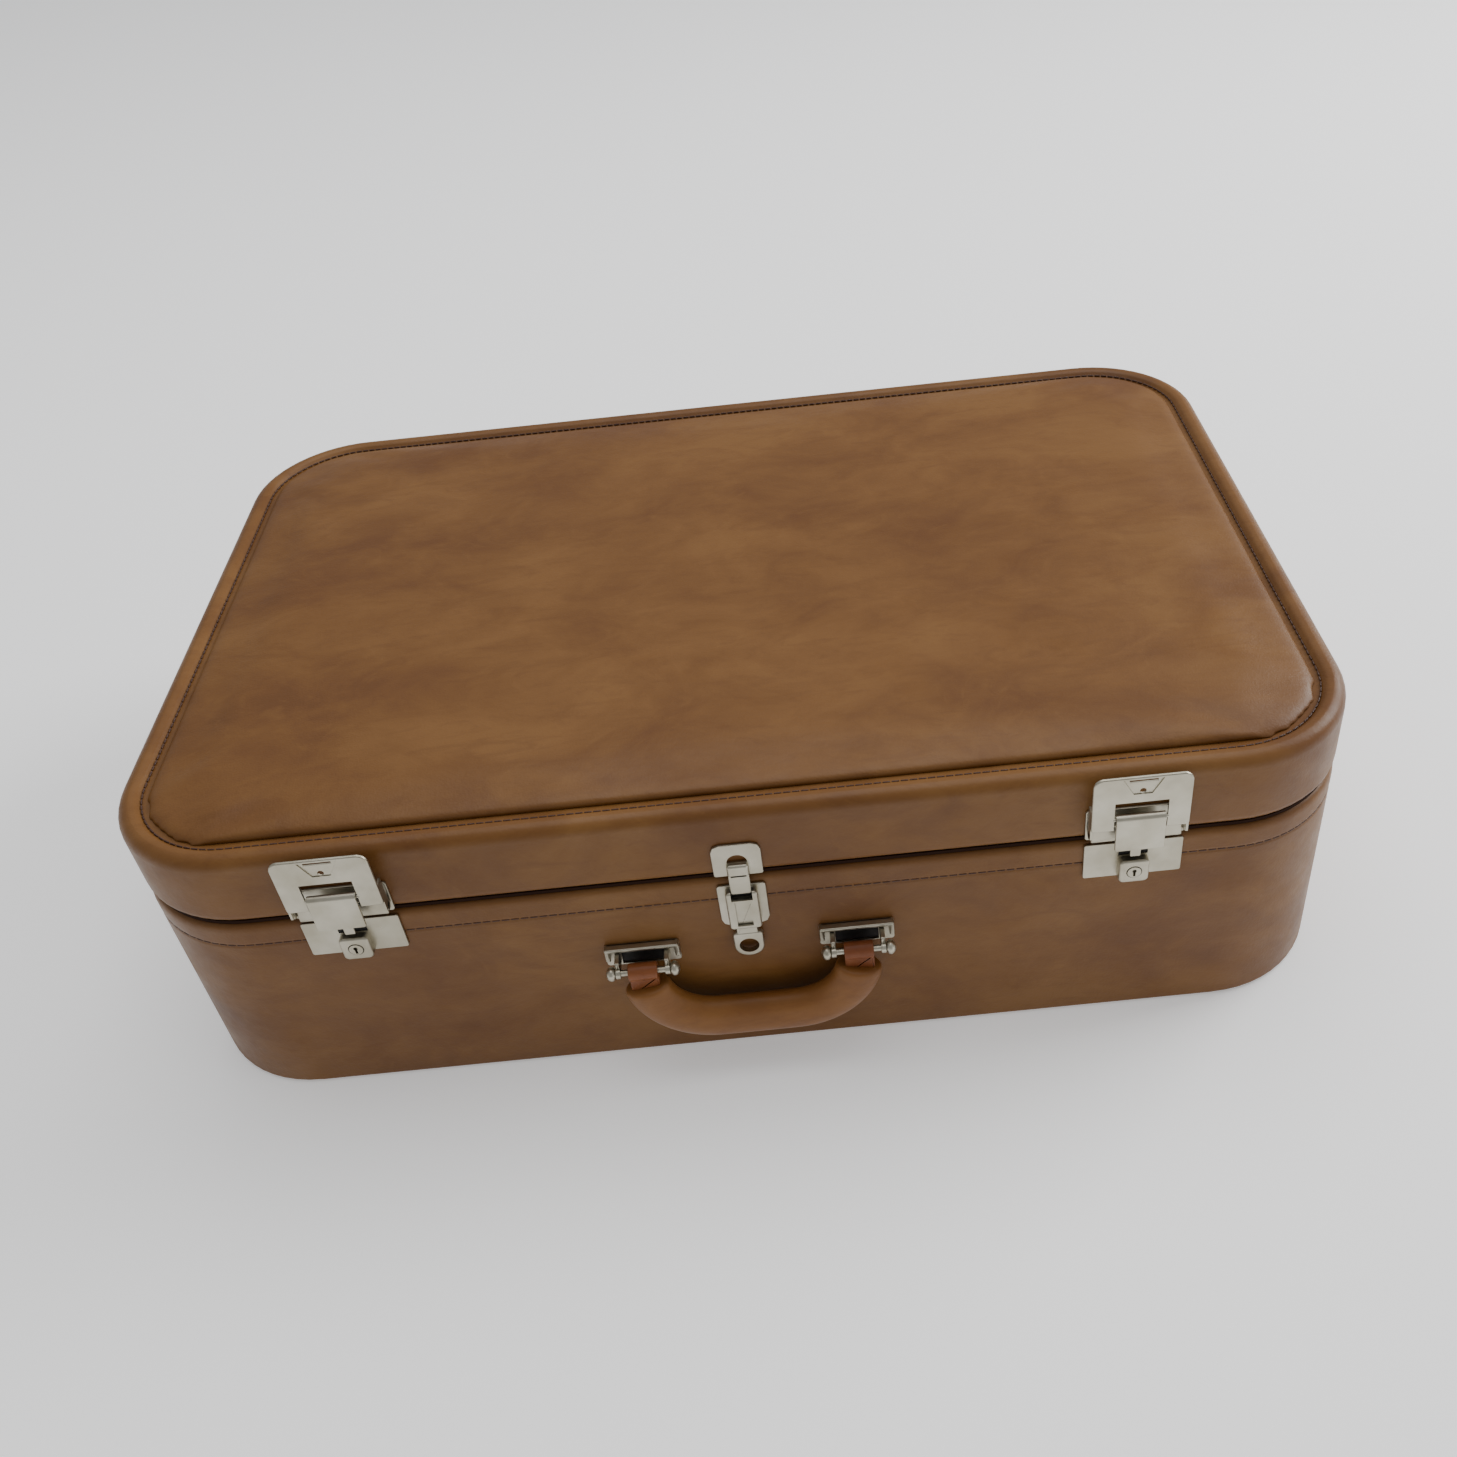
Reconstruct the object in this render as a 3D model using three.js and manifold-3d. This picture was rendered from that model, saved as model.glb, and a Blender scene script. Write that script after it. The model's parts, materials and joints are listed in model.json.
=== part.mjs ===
// A suitcase record player: a vinyl-covered case with a shallow padded lid, two key-locking lever latches,
// a centre catch and a drop handle, and a single-speaker record deck that sits inside the base.
// Millimetres. +X is the width, +Y is the hinge side, +Z is up. The origin is the middle of the underside.
import * as THREE from "three";
import { mergeVertices } from "three/addons/utils/BufferGeometryUtils.js";
import Module from "manifold-3d";

const wasm = await Module();
wasm.setup();

// ---------- driving dimensions ----------
const caseWidth = 600, caseDepth = 400, cornerRadius = 64;
const baseHeight = 122, lidGap = 3, lidHeight = 40;
const coverThickness = 1.2, wallThickness = 6, floorThickness = 4.7, lidBoardThickness = 4;
const touchGap = 0.3; // between pieces that rest on each other
const rimRoll = 6.5, grooveInset = 13, grooveDepth = 3.2, panelCrown = 3.2;
const dustLipThickness = 1.9, dustLipRise = 9, dustLipDepth = 26, dustLipClearance = 0.6;
const deckTop = 90, deckThickness = 6, ledgeWidth = 14, ledgeHeight = 12;
const platterX = -115, platterY = 5, platterRadius = 135, platterHeight = 12, platterLift = 2;
const spindleRadius = 3.5, spindleRise = 14, matThickness = 2.7, rimThickness = 14.5;
const armX = 75, armY = 105, armLength = 230, armRise = 33, armTubeRadius = 4;
const speakerX = 206, speakerY = 52, speakerRadius = 62;
const knobX = [172, 240], knobY = -120, knobRadius = 14, knobHeight = 15, knobShaftRadius = 3;
const latchX = 187, latchWidth = 47, leverWidth = 45.5, leverHeight = 38, leverFace = 9.2;
const plateThickness = 1.2, lockPlateHeight = 22, latchPlateHeight = 18.5;
const catchWidth = 23.5, catchHeight = 27.5, keeperHeight = 20;
const handleSpan = 106, bracketWidth = 37, bracketHeight = 14, pivotOut = 11, pivotHeight = 75;
const gripWidth = 24, gripThickness = 17, gripDrop = 39, gripBend = 26;
const hingeX = 190, hingeWidth = 50, leafHeight = 18, knuckleRadius = 3, hingePinRadius = 1.4;
const lidOpening = THREE.MathUtils.degToRad(100), stopSlack = THREE.MathUtils.degToRad(1.5);

// ---------- places that follow from them ----------
const lidBottom = baseHeight + lidGap;
const rimTop = lidBottom + lidHeight;
const wallInset = coverThickness + touchGap;
const innerInset = wallInset + wallThickness;
const lidBoardTop = rimTop - 4.5;
const deckBottom = deckTop - deckThickness;
const deckInset = innerInset + 0.6;
const hingeAxisZ = baseHeight + lidGap / 2;
const hingeAxisY = caseDepth / 2 + touchGap + knuckleRadius - 0.1;
const platterBottom = deckTop + platterLift;
const platterTop = platterBottom + platterHeight;
const matBottom = platterTop + touchGap;
const spindleTop = matBottom + matThickness + spindleRise;
const driveRimRadius = platterRadius - rimThickness;
const armZ = deckTop + armRise;

// ---------- materials ----------
function material(colour, roughness, metalness) {
  return new THREE.MeshStandardMaterial({ color: colour, roughness, metalness });
}
const vinyl = material(0x8f5d33, 0.45, 0);
const board = material(0x9c7b52, 0.8, 0);
const lining = material(0xb9a27c, 0.9, 0);
const nickel = material(0xc9c7bb, 0.25, 1);
const steel = material(0x8d8f91, 0.35, 1);
const deckPaint = material(0x2b2a28, 0.5, 0);
const rubber = material(0x161616, 0.85, 0);
const aluminium = material(0xb8babc, 0.3, 1);
const blackPlastic = material(0x1c1b1a, 0.4, 0);

// ---------- helpers ----------
const part = new THREE.Group();

// A closed geometry as a manifold-3d solid.
function solid(geometry) {
  const bare = geometry.index ? geometry.toNonIndexed() : geometry.clone();
  bare.deleteAttribute("normal");
  bare.deleteAttribute("uv");
  const merged = mergeVertices(bare, 1e-4);
  return new wasm.Manifold(new wasm.Mesh({
    numProp: 3,
    vertProperties: merged.attributes.position.array,
    triVerts: new Uint32Array(merged.index.array),
  }));
}

function geometryOf(made) {
  const mesh = made.getMesh();
  const position = new Float32Array(mesh.numVert * 3);
  for (let i = 0; i < mesh.numVert; i++) {
    position.set(mesh.vertProperties.subarray(i * mesh.numProp, i * mesh.numProp + 3), i * 3);
  }
  const geometry = new THREE.BufferGeometry();
  geometry.setAttribute("position", new THREE.BufferAttribute(position, 3));
  geometry.setIndex(new THREE.BufferAttribute(mesh.triVerts, 1));
  geometry.computeVertexNormals();
  return geometry;
}

function join(...geometries) {
  return geometryOf(geometries.map(solid).reduce((sum, next) => sum.add(next)));
}

function cut(geometry, ...tools) {
  return geometryOf(tools.map(solid).reduce((left, tool) => left.subtract(tool), solid(geometry)));
}

function add(name, geometry, finish, parent = part) {
  const mesh = new THREE.Mesh(geometry, finish);
  mesh.name = name;
  parent.add(mesh);
  return mesh;
}

// A box between two corners.
function block(x0, x1, y0, y1, z0, z1) {
  const box = new THREE.BoxGeometry(x1 - x0, y1 - y0, z1 - z0);
  return box.translate((x0 + x1) / 2, (y0 + y1) / 2, (z0 + z1) / 2);
}

// A cylinder along an axis, from one end to the other.
function rod(axis, radius, from, to, sides = 12) {
  const shape = new THREE.CylinderGeometry(radius, radius, to - from, sides);
  shape.translate(0, (from + to) / 2, 0);
  if (axis === "x") shape.rotateZ(-Math.PI / 2);
  if (axis === "z") shape.rotateX(Math.PI / 2);
  return shape;
}

// A profile of [radius, height] points turned round +Z. It ends on the axis or on its own first point.
function turned(points, sides = 24) {
  const profile = points.map(([r, z]) => new THREE.Vector2(r, z));
  return new THREE.LatheGeometry(profile, sides).rotateX(Math.PI / 2);
}

function roundedShape(width, height, radius) {
  const x = width / 2, y = height / 2, shape = new THREE.Shape();
  shape.moveTo(-x + radius, -y);
  shape.lineTo(x - radius, -y).absarc(x - radius, -y + radius, radius, -Math.PI / 2, 0);
  shape.lineTo(x, y - radius).absarc(x - radius, y - radius, radius, 0, Math.PI / 2);
  shape.lineTo(-x + radius, y).absarc(-x + radius, y - radius, radius, Math.PI / 2, Math.PI);
  shape.lineTo(-x, -y + radius).absarc(-x + radius, -y + radius, radius, Math.PI, 1.5 * Math.PI);
  return shape;
}

// A rounded plate lying in the XY plane, from z0 up to z1.
function plate(width, height, radius, z0, z1, corner = 2) {
  const options = { depth: z1 - z0, bevelEnabled: false, curveSegments: corner };
  return new THREE.ExtrudeGeometry(roundedShape(width, height, radius), options).translate(0, 0, z0);
}

// The case's rounded outline, drawn in by an inset, as points that run anticlockwise.
function caseOutline(inset, steps = 6) {
  const r = cornerRadius - inset, points = [];
  [[1, 1], [-1, 1], [-1, -1], [1, -1]].forEach(([sx, sy], corner) => {
    for (let i = 0; i <= steps; i++) {
      const turn = (corner + i / steps) * Math.PI / 2;
      const x = sx * (caseWidth / 2 - cornerRadius) + r * Math.cos(turn);
      const y = sy * (caseDepth / 2 - cornerRadius) + r * Math.sin(turn);
      points.push([x, y]);
    }
  });
  return points;
}

// A plate that fills the case's outline, drawn in by an inset.
function casePlate(inset, z0, z1) {
  const outline = new THREE.Shape(caseOutline(inset).map(([x, y]) => new THREE.Vector2(x, y)));
  return new THREE.ExtrudeGeometry(outline, { depth: z1 - z0, bevelEnabled: false }).translate(0, 0, z0);
}

// Faces between rows of points that each run round the case. The rows close as a ring, or are capped.
function skinOf(rows, capped) {
  const count = rows[0].length, position = rows.flat(2), index = [];
  const spans = capped ? rows.length - 1 : rows.length;
  for (let row = 0; row < spans; row++) {
    for (let i = 0; i < count; i++) {
      const next = (i + 1) % count, above = ((row + 1) % rows.length) * count;
      const a = row * count + i, b = row * count + next, c = above + i, d = above + next;
      index.push(a, b, d, a, d, c);
    }
  }
  if (capped) {
    [0, rows.length - 1].forEach((row) => {
      const middle = position.length / 3;
      position.push(0, 0, capped[row ? 1 : 0]);
      for (let i = 0; i < count; i++) {
        const a = row * count + i, b = row * count + (i + 1) % count;
        index.push(...(row ? [a, b, middle] : [b, a, middle]));
      }
    });
  }
  const geometry = new THREE.BufferGeometry();
  geometry.setAttribute("position", new THREE.Float32BufferAttribute(position, 3));
  geometry.setIndex(index);
  geometry.computeVertexNormals();
  return geometry;
}

// A closed section of [inset, height] points, carried round the case: up the outside, then down inside.
function aroundCase(section) {
  return skinOf(section.map(([inset, z]) => caseOutline(inset).map(([x, y]) => [x, y, z])), null);
}

// ---------- base of the case ----------
function makeBase() {
  const floorBottom = 0, coverBottom = 1.2, wallTop = baseHeight - coverThickness - touchGap;
  add("base_floor", casePlate(wallInset, floorBottom, floorThickness), board);
  const wallBottom = floorThickness + touchGap;
  add("base_wall", aroundCase([
    [wallInset, wallBottom], [wallInset, wallTop], [innerInset, wallTop], [innerInset, wallBottom],
  ]), board);
  add("base_cover", aroundCase([
    [coverThickness, coverBottom], [0.3, coverBottom + 0.3], [0, coverBottom + 1.8],
    [0, baseHeight - 4], [0.6, baseHeight - 1.6], [2.2, baseHeight - 0.4], [4, baseHeight],
    [innerInset, baseHeight], [innerInset, baseHeight - coverThickness],
    [coverThickness, baseHeight - coverThickness],
  ]), vinyl);
  const lipOut = innerInset + dustLipClearance, lipIn = lipOut + dustLipThickness;
  add("dust_lip", aroundCase([
    [lipOut, baseHeight - dustLipDepth], [lipOut, baseHeight + dustLipRise],
    [lipIn, baseHeight + dustLipRise], [lipIn, baseHeight - dustLipDepth],
  ]), deckPaint);
  const ledgeTop = deckBottom - touchGap, ledgeOut = innerInset + touchGap;
  add("deck_ledge", aroundCase([
    [ledgeOut, ledgeTop - ledgeHeight], [ledgeOut, ledgeTop],
    [ledgeOut + ledgeWidth, ledgeTop], [ledgeOut + ledgeWidth, ledgeTop - ledgeHeight],
  ]), board);
}

// ---------- lid ----------
function makeLid() {
  const wallBottom = lidBottom + coverThickness + touchGap;
  add("lid_wall", aroundCase([
    [wallInset, wallBottom], [wallInset, lidBoardTop - 2.6],
    [innerInset, lidBoardTop - 2.6], [innerInset, wallBottom],
  ]), board);
  const boardBottom = lidBoardTop - lidBoardThickness;
  add("lid_board", casePlate(innerInset + touchGap, boardBottom, lidBoardTop - touchGap), board);
  // The cover wraps the wall, rolls over at the rim and runs down into the groove beside the padded panel.
  const shoulder = rimTop - rimRoll;
  const roll = [1 / 3, 2 / 3, 1].map((share) => {
    const turn = share * Math.PI / 2;
    return [rimRoll * (1 - Math.cos(turn)), shoulder + rimRoll * Math.sin(turn)];
  });
  add("lid_cover", aroundCase([
    [innerInset, lidBottom], [4, lidBottom], [2.2, lidBottom + 0.4], [0.6, lidBottom + 1.6],
    [0, lidBottom + 4], [0, shoulder], ...roll,
    [grooveInset - 3, rimTop - 0.6], [grooveInset, rimTop - grooveDepth], [grooveInset, lidBoardTop],
    [coverThickness, lidBoardTop], [coverThickness, lidBottom + coverThickness],
    [innerInset, lidBottom + coverThickness],
  ]), vinyl);
  // The padded panel is a foam-backed sheet with rolled edges that fills the lid inside the groove.
  const edge = grooveInset + touchGap;
  const crown = [
    [edge, lidBoardTop], [edge, rimTop - 1.8], [edge + 1.2, rimTop - 0.2], [edge + 4, rimTop + 1],
    [edge + 12, rimTop + 1.9], [edge + 40, rimTop + 2.7],
  ];
  const rows = crown.map(([inset, z]) => caseOutline(inset).map(([x, y]) => [x, y, z]));
  add("lid_top_panel", skinOf(rows, [lidBoardTop, rimTop + panelCrown]), vinyl);
  const liningSide = innerInset + touchGap, liningTop = boardBottom - touchGap;
  const liningBottom = baseHeight + dustLipRise + 2.5;
  add("lid_lining", cut(
    casePlate(liningSide, liningBottom, liningTop),
    casePlate(liningSide + 1, liningBottom - 5, liningTop - 1),
  ), lining);
}

// ---------- hinges at the back, one each side ----------
function makeHinge(name, x) {
  const bore = hingePinRadius + 0.3, knuckleSides = 12;
  const leafIn = caseDepth / 2 + touchGap, leafOut = leafIn + plateThickness;
  const half = hingeWidth / 2, middle = 8.6, space = 0.4;
  const place = (shape) => shape.translate(x, 0, 0);
  const onAxis = (shape) => shape.translate(0, hingeAxisY, hingeAxisZ);
  const barrel = (from, to) => onAxis(rod("x", knuckleRadius, from, to, knuckleSides));
  const boreTool = onAxis(rod("x", bore, -half - 1, half + 1, knuckleSides));
  const baseTop = hingeAxisZ - knuckleRadius - 0.9;
  const baseLeaf = cut(join(
    block(-half, half, leafIn, leafOut, baseTop - leafHeight, baseTop),
    block(-half, -middle - space, leafIn, leafOut, baseTop - 1, hingeAxisZ),
    block(middle + space, half, leafIn, leafOut, baseTop - 1, hingeAxisZ),
    barrel(-half, -middle - space), barrel(middle + space, half),
  ), boreTool);
  add("hinge_base_leaf_" + name, place(baseLeaf), steel);
  const lidFoot = hingeAxisZ + knuckleRadius + 0.9;
  // The stop lug meets the base leaf just past the lid's full opening.
  const stopReach = knuckleRadius + 2.5, stopHalf = 0.8;
  const tipReach = Math.hypot(stopReach, stopHalf), tipTurn = Math.atan2(stopHalf, stopReach);
  const meets = Math.acos((leafOut - hingeAxisY) / tipReach) - tipTurn;
  const stop = block(-4, 4, knuckleRadius - 0.5, stopReach, -stopHalf, stopHalf);
  stop.rotateX(lidOpening + stopSlack - meets);
  const lidLeaf = cut(join(
    block(-half, half, leafIn, leafOut, lidFoot, lidFoot + leafHeight),
    block(-middle, middle, leafIn, leafOut, hingeAxisZ, lidFoot + 1), barrel(-middle, middle), onAxis(stop),
  ), boreTool);
  add("hinge_lid_leaf_" + name, place(lidLeaf), steel);
  add("hinge_pin_" + name, place(onAxis(rod("x", hingePinRadius, -half - 0.6, half + 0.6))), steel);
}

// ---------- fittings on the front ----------
// Inside this group x is the case's x, y is height and z stands out from the front face.
const front = new THREE.Group();
front.position.set(0, -caseDepth / 2, 0);
front.rotation.x = Math.PI / 2;
part.add(front);

// The lever turns on the barrel of the lid plate, and the hook hangs from a pin in the lever's window.
const barrelOut = 4.2, barrelHeight = lidBottom + 6.5, barrelRadius = 2.4;
const latchPinRadius = 1, latchBore = 1.3;
const hookPinHeight = barrelHeight + 12, hookWidth = 23;
const slotTop = baseHeight - 2.5, slotBottom = slotTop - 7;

function makeLatch(name, x) {
  const half = latchWidth / 2, flat = [touchGap, touchGap + plateThickness];
  const holder = new THREE.Group();
  holder.position.x = x;
  front.add(holder);
  // Lower plate with the raised lock housing below the slot that the hook's nose drops into.
  const plateTop = baseHeight - 0.8, housingWidth = 14.5, housingOut = 6.2;
  const lockMiddle = plateTop - lockPlateHeight / 2;
  const housingTop = slotBottom, housingBottom = plateTop - lockPlateHeight - 1;
  const cylinderRadius = 3.5, cylinderHeight = (housingTop + housingBottom) / 2;
  const housing = plate(housingWidth, housingTop - housingBottom, 2.6, flat[0], housingOut)
    .translate(0, (housingTop + housingBottom) / 2, 0);
  const lockPlate = cut(
    join(plate(latchWidth, lockPlateHeight, 1.2, ...flat).translate(0, lockMiddle, 0), housing),
    rod("z", cylinderRadius + 0.3, flat[1], housingOut + 1).translate(0, cylinderHeight, 0),
  );
  add("lock_plate_" + name, lockPlate, nickel, holder);
  const key = cut(
    rod("z", cylinderRadius, flat[1] + touchGap, housingOut + 0.4).translate(0, cylinderHeight, 0),
    block(-0.7, 0.7, cylinderHeight - 2.4, cylinderHeight + 1.2, housingOut - 2.5, housingOut + 1),
  );
  add("lock_cylinder_" + name, key, nickel, holder);
  // Upper plate on the lid, with the barrel that the lever turns on.
  const barrelHalf = leverWidth / 2 - plateThickness - 0.4;
  const upper = cut(join(
    plate(latchWidth, latchPlateHeight, 1.2, ...flat).translate(0, lidBottom + latchPlateHeight / 2, 0),
    rod("x", barrelRadius, -barrelHalf, barrelHalf).translate(0, barrelHeight, barrelOut),
    block(-barrelHalf, barrelHalf, barrelHeight - 1.2, barrelHeight + 1.2, flat[0], barrelOut - 1.6),
  ), rod("x", latchBore, -half, half).translate(0, barrelHeight, barrelOut));
  add("latch_plate_" + name, upper, nickel, holder);
  // The lever is a pressed plate with folded sides, a window for the hook and a finger notch at the top.
  const leverBottom = barrelHeight - 0.4, leverTop = leverBottom + leverHeight;
  const leverIn = leverFace - plateThickness, pinOut = leverIn + 0.6;
  const outline = new THREE.Shape();
  const halfLever = leverWidth / 2, cornerCut = 5;
  outline.moveTo(-halfLever, leverBottom);
  outline.lineTo(halfLever, leverBottom).lineTo(halfLever, leverTop - cornerCut);
  outline.quadraticCurveTo(halfLever, leverTop - 0.8, halfLever - cornerCut, leverTop - 0.5);
  outline.quadraticCurveTo(0, leverTop + 0.5, -halfLever + cornerCut, leverTop - 0.5);
  outline.quadraticCurveTo(-halfLever, leverTop - 0.8, -halfLever, leverTop - cornerCut);
  const sheetOptions = { depth: plateThickness, bevelEnabled: false, curveSegments: 5 };
  const face = new THREE.ExtrudeGeometry(outline, sheetOptions).translate(0, 0, leverIn);
  const side = (sign) => {
    const flange = new THREE.Shape();
    flange.absarc(barrelHeight, barrelOut, barrelRadius, -Math.PI / 2, Math.PI / 2, true);
    flange.lineTo(barrelHeight + 2, leverFace - 0.2).lineTo(leverTop - cornerCut - 1, leverFace - 0.2);
    flange.lineTo(leverTop - cornerCut - 1, leverIn - 2).lineTo(barrelHeight + 4, barrelOut - barrelRadius);
    const sheet = new THREE.ExtrudeGeometry(flange, sheetOptions);
    sheet.applyMatrix4(new THREE.Matrix4().makeBasis(
      new THREE.Vector3(0, 1, 0), new THREE.Vector3(0, 0, 1), new THREE.Vector3(1, 0, 0)));
    return sheet.translate(sign > 0 ? halfLever - plateThickness : -halfLever, 0, 0);
  };
  const windowWidth = hookWidth + 1.6, windowTop = hookPinHeight + 10.5;
  const leverMade = join(
    cut(face,
      block(-windowWidth / 2, windowWidth / 2, leverBottom - 1, windowTop, leverIn - 1, leverFace + 1),
      rod("z", 4.5, leverIn - 1, leverFace + 1).translate(0, leverTop + 1.5, 0)),
    side(1), side(-1),
    rod("x", latchPinRadius, -halfLever + 0.4, halfLever - 0.4).translate(0, barrelHeight, barrelOut),
    rod("x", latchPinRadius, -windowWidth / 2 - 1, windowWidth / 2 + 1).translate(0, hookPinHeight, pinOut),
  );
  add("latch_lever_" + name, leverMade, nickel, holder);
  // The hook: a knuckle round the window's pin, a flat shank down the outside and a nose that turns in.
  const shankIn = pinOut + 1, shankOut = shankIn + 1.3;
  const noseBottom = slotBottom + 2.2, noseTop = noseBottom + 1.5, noseIn = 2.4;
  const hookHalf = hookWidth / 2, noseHalf = 5.5, rollRadius = 2.3;
  const hookMade = cut(join(
    rod("x", rollRadius, -hookHalf, hookHalf).translate(0, hookPinHeight, pinOut),
    block(-hookHalf, hookHalf, lidBottom - 1, hookPinHeight, shankIn, shankOut),
    block(-noseHalf, noseHalf, noseBottom, lidBottom, shankIn, shankOut),
    block(-noseHalf, noseHalf, noseBottom, noseTop, noseIn, shankOut),
  ), rod("x", latchBore, -hookHalf - 1, hookHalf + 1).translate(0, hookPinHeight, pinOut));
  add("latch_hook_" + name, hookMade, nickel, holder);
}

// The centre catch: a keeper on the lid, and below it a housing with a pull loop that slides down.
function makeCatch() {
  const flat = [touchGap, touchGap + plateThickness], half = catchWidth / 2;
  const tongueHalf = 5, tongueBottom = baseHeight - 7, tongueIn = 3, tongueOut = 4.2;
  const keeper = join(
    cut(plate(catchWidth, keeperHeight, 4, ...flat).translate(0, lidBottom + keeperHeight / 2, 0),
      rod("z", 4.8, -1, 3, 20).scale(1, 0.62, 1).translate(0, lidBottom + 9.6, 0)),
    block(-tongueHalf, tongueHalf, lidBottom + 0.2, lidBottom + 6, flat[0], tongueOut),
    block(-tongueHalf, tongueHalf, tongueBottom, lidBottom + 5, tongueIn, tongueOut),
  );
  add("catch_keeper", keeper, nickel, front);
  const top = baseHeight - 3.5, bottom = top - catchHeight, housingHalf = 6.6, housingOut = 6.4;
  const housingTop = top - 1, housingBottom = bottom + 1.5, cavityHalf = housingHalf - 1;
  const body = cut(
    join(plate(catchWidth, catchHeight, 3, ...flat).translate(0, (top + bottom) / 2, 0),
      plate(2 * housingHalf, housingTop - housingBottom, 1.5, flat[0], housingOut)
        .translate(0, (housingTop + housingBottom) / 2, 0)),
    block(-cavityHalf, cavityHalf, housingBottom - 1, housingTop + 1, flat[1], housingOut - 1),
  );
  add("catch_plate", body, nickel, front);
  const slideTop = tongueBottom - 1.2, slideHalf = cavityHalf - 0.4, ringMiddle = bottom - 7, ringOut = 7.4;
  const slideIn = flat[1] + touchGap, slideOut = housingOut - 1 - touchGap;
  const ring = cut(
    join(rod("z", ringOut, slideIn, slideOut, 20).translate(0, ringMiddle - 5, 0),
      block(-ringOut, ringOut, ringMiddle - 5, ringMiddle + 4, slideIn, slideOut)),
    rod("z", ringOut - 2.6, slideIn - 1, slideOut + 1, 20).translate(0, ringMiddle - 4.6, 0),
  );
  const slide = join(
    block(-slideHalf, slideHalf, ringMiddle + 3, slideTop, slideIn, slideOut), ring);
  add("catch_slide", slide, nickel, front);
}

// A handle bracket: a plate with a window and two arms that stand out to hold the pivot pin.
function makeHandle() {
  const armAt = 12.2, armWide = 2.2, pinRadius = 1.6, ballRadius = 3.6, ballAt = armAt + 4.2;
  const flat = [touchGap, touchGap + plateThickness], windowHalf = 10;
  const tabWidth = 14.5, tabRadius = 4.4, tabThickness = 5, gripTop = pivotHeight - 10.5;
  const bore = () => rod("x", pinRadius + 0.3, -20, 20).translate(0, pivotHeight, pivotOut);
  const plateTop = pivotHeight + 9.5, plateMiddle = plateTop - bracketHeight / 2;
  for (const [name, sign] of [["left", -1], ["right", 1]]) {
    const holder = new THREE.Group();
    holder.position.x = sign * handleSpan / 2;
    front.add(holder);
    const arm = (at) => join(
      block(at - armWide / 2, at + armWide / 2, pivotHeight - 3, plateTop - 4, flat[0], pivotOut),
      rod("x", 3, at - armWide / 2, at + armWide / 2).translate(0, pivotHeight, pivotOut));
    const bracket = cut(join(
      plate(bracketWidth, bracketHeight, 1.5, ...flat).translate(0, plateMiddle, 0),
      block(-bracketWidth / 2 + 2, bracketWidth / 2 - 2, plateTop - 1.4, plateTop - 0.1, flat[0], 4.2),
      arm(-armAt), arm(armAt)),
    block(-windowHalf, windowHalf, plateTop - 12.5, plateTop - 2.2, -1, 3), bore());
    add("handle_bracket_" + name, bracket, nickel, holder);
    const ball = (at) => new THREE.SphereGeometry(ballRadius, 10, 6).scale(0.75, 1, 1)
      .translate(at, pivotHeight, pivotOut);
    const pin = join(
      rod("x", pinRadius, -armAt - 4, armAt + 4).translate(0, pivotHeight, pivotOut),
      ball(-ballAt), ball(ballAt));
    add("handle_pin_" + name, pin, nickel, holder);
    const tab = cut(join(
      rod("x", tabRadius, -tabWidth / 2, tabWidth / 2).translate(0, pivotHeight, pivotOut),
      block(-tabWidth / 2, tabWidth / 2, gripTop - 4, pivotHeight, pivotOut - tabThickness / 2,
        pivotOut + tabThickness / 2)),
    bore());
    add("handle_tab_" + name, tab, vinyl, holder);
  }
  // The grip: an oval section carried down one side, along the bottom and up the other.
  const half = handleSpan / 2, bar = pivotHeight - gripDrop, turnTop = bar + gripBend;
  const path = new THREE.CurvePath();
  const v = (x, y) => new THREE.Vector3(x, y, pivotOut);
  const quarterArc = 0.5523, inner = gripBend * quarterArc;
  path.add(new THREE.LineCurve3(v(-half, gripTop), v(-half, turnTop)));
  path.add(new THREE.CubicBezierCurve3(v(-half, turnTop), v(-half, turnTop - inner),
    v(-half + gripBend - inner, bar), v(-half + gripBend, bar)));
  path.add(new THREE.LineCurve3(v(-half + gripBend, bar), v(half - gripBend, bar)));
  path.add(new THREE.CubicBezierCurve3(v(half - gripBend, bar), v(half - gripBend + inner, bar),
    v(half, turnTop - inner), v(half, turnTop)));
  path.add(new THREE.LineCurve3(v(half, turnTop), v(half, gripTop)));
  const section = new THREE.Shape().absellipse(0, 0, gripThickness / 2, gripWidth / 2, 0, 2 * Math.PI);
  const swept = new THREE.ExtrudeGeometry(section, { steps: 28, extrudePath: path, curveSegments: 6 });
  const room = (sign) => block(
    sign * half - tabWidth / 2 - touchGap, sign * half + tabWidth / 2 + touchGap,
    gripTop - 4 - touchGap, gripTop + 1,
    pivotOut - tabThickness / 2 - touchGap, pivotOut + tabThickness / 2 + touchGap);
  add("handle_grip", cut(swept, room(-1), room(1)), vinyl, front);
}

// ---------- record deck ----------
const driveTurn = 3.6, driveHole = 26, idlerRadius = 17, pulleyRadius = 2.9, rollGap = 0.5;
const idlerReach = driveRimRadius - idlerRadius - rollGap;
const pulleyReach = idlerReach - idlerRadius - pulleyRadius - rollGap;
const drivePoint = (reach) => [
  platterX + reach * Math.cos(driveTurn), platterY + reach * Math.sin(driveTurn),
];
const selectorX = 22, selectorY = -164, inletX = -225, inletY = 166;
const restReach = 165, restY = armY - restReach;

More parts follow.
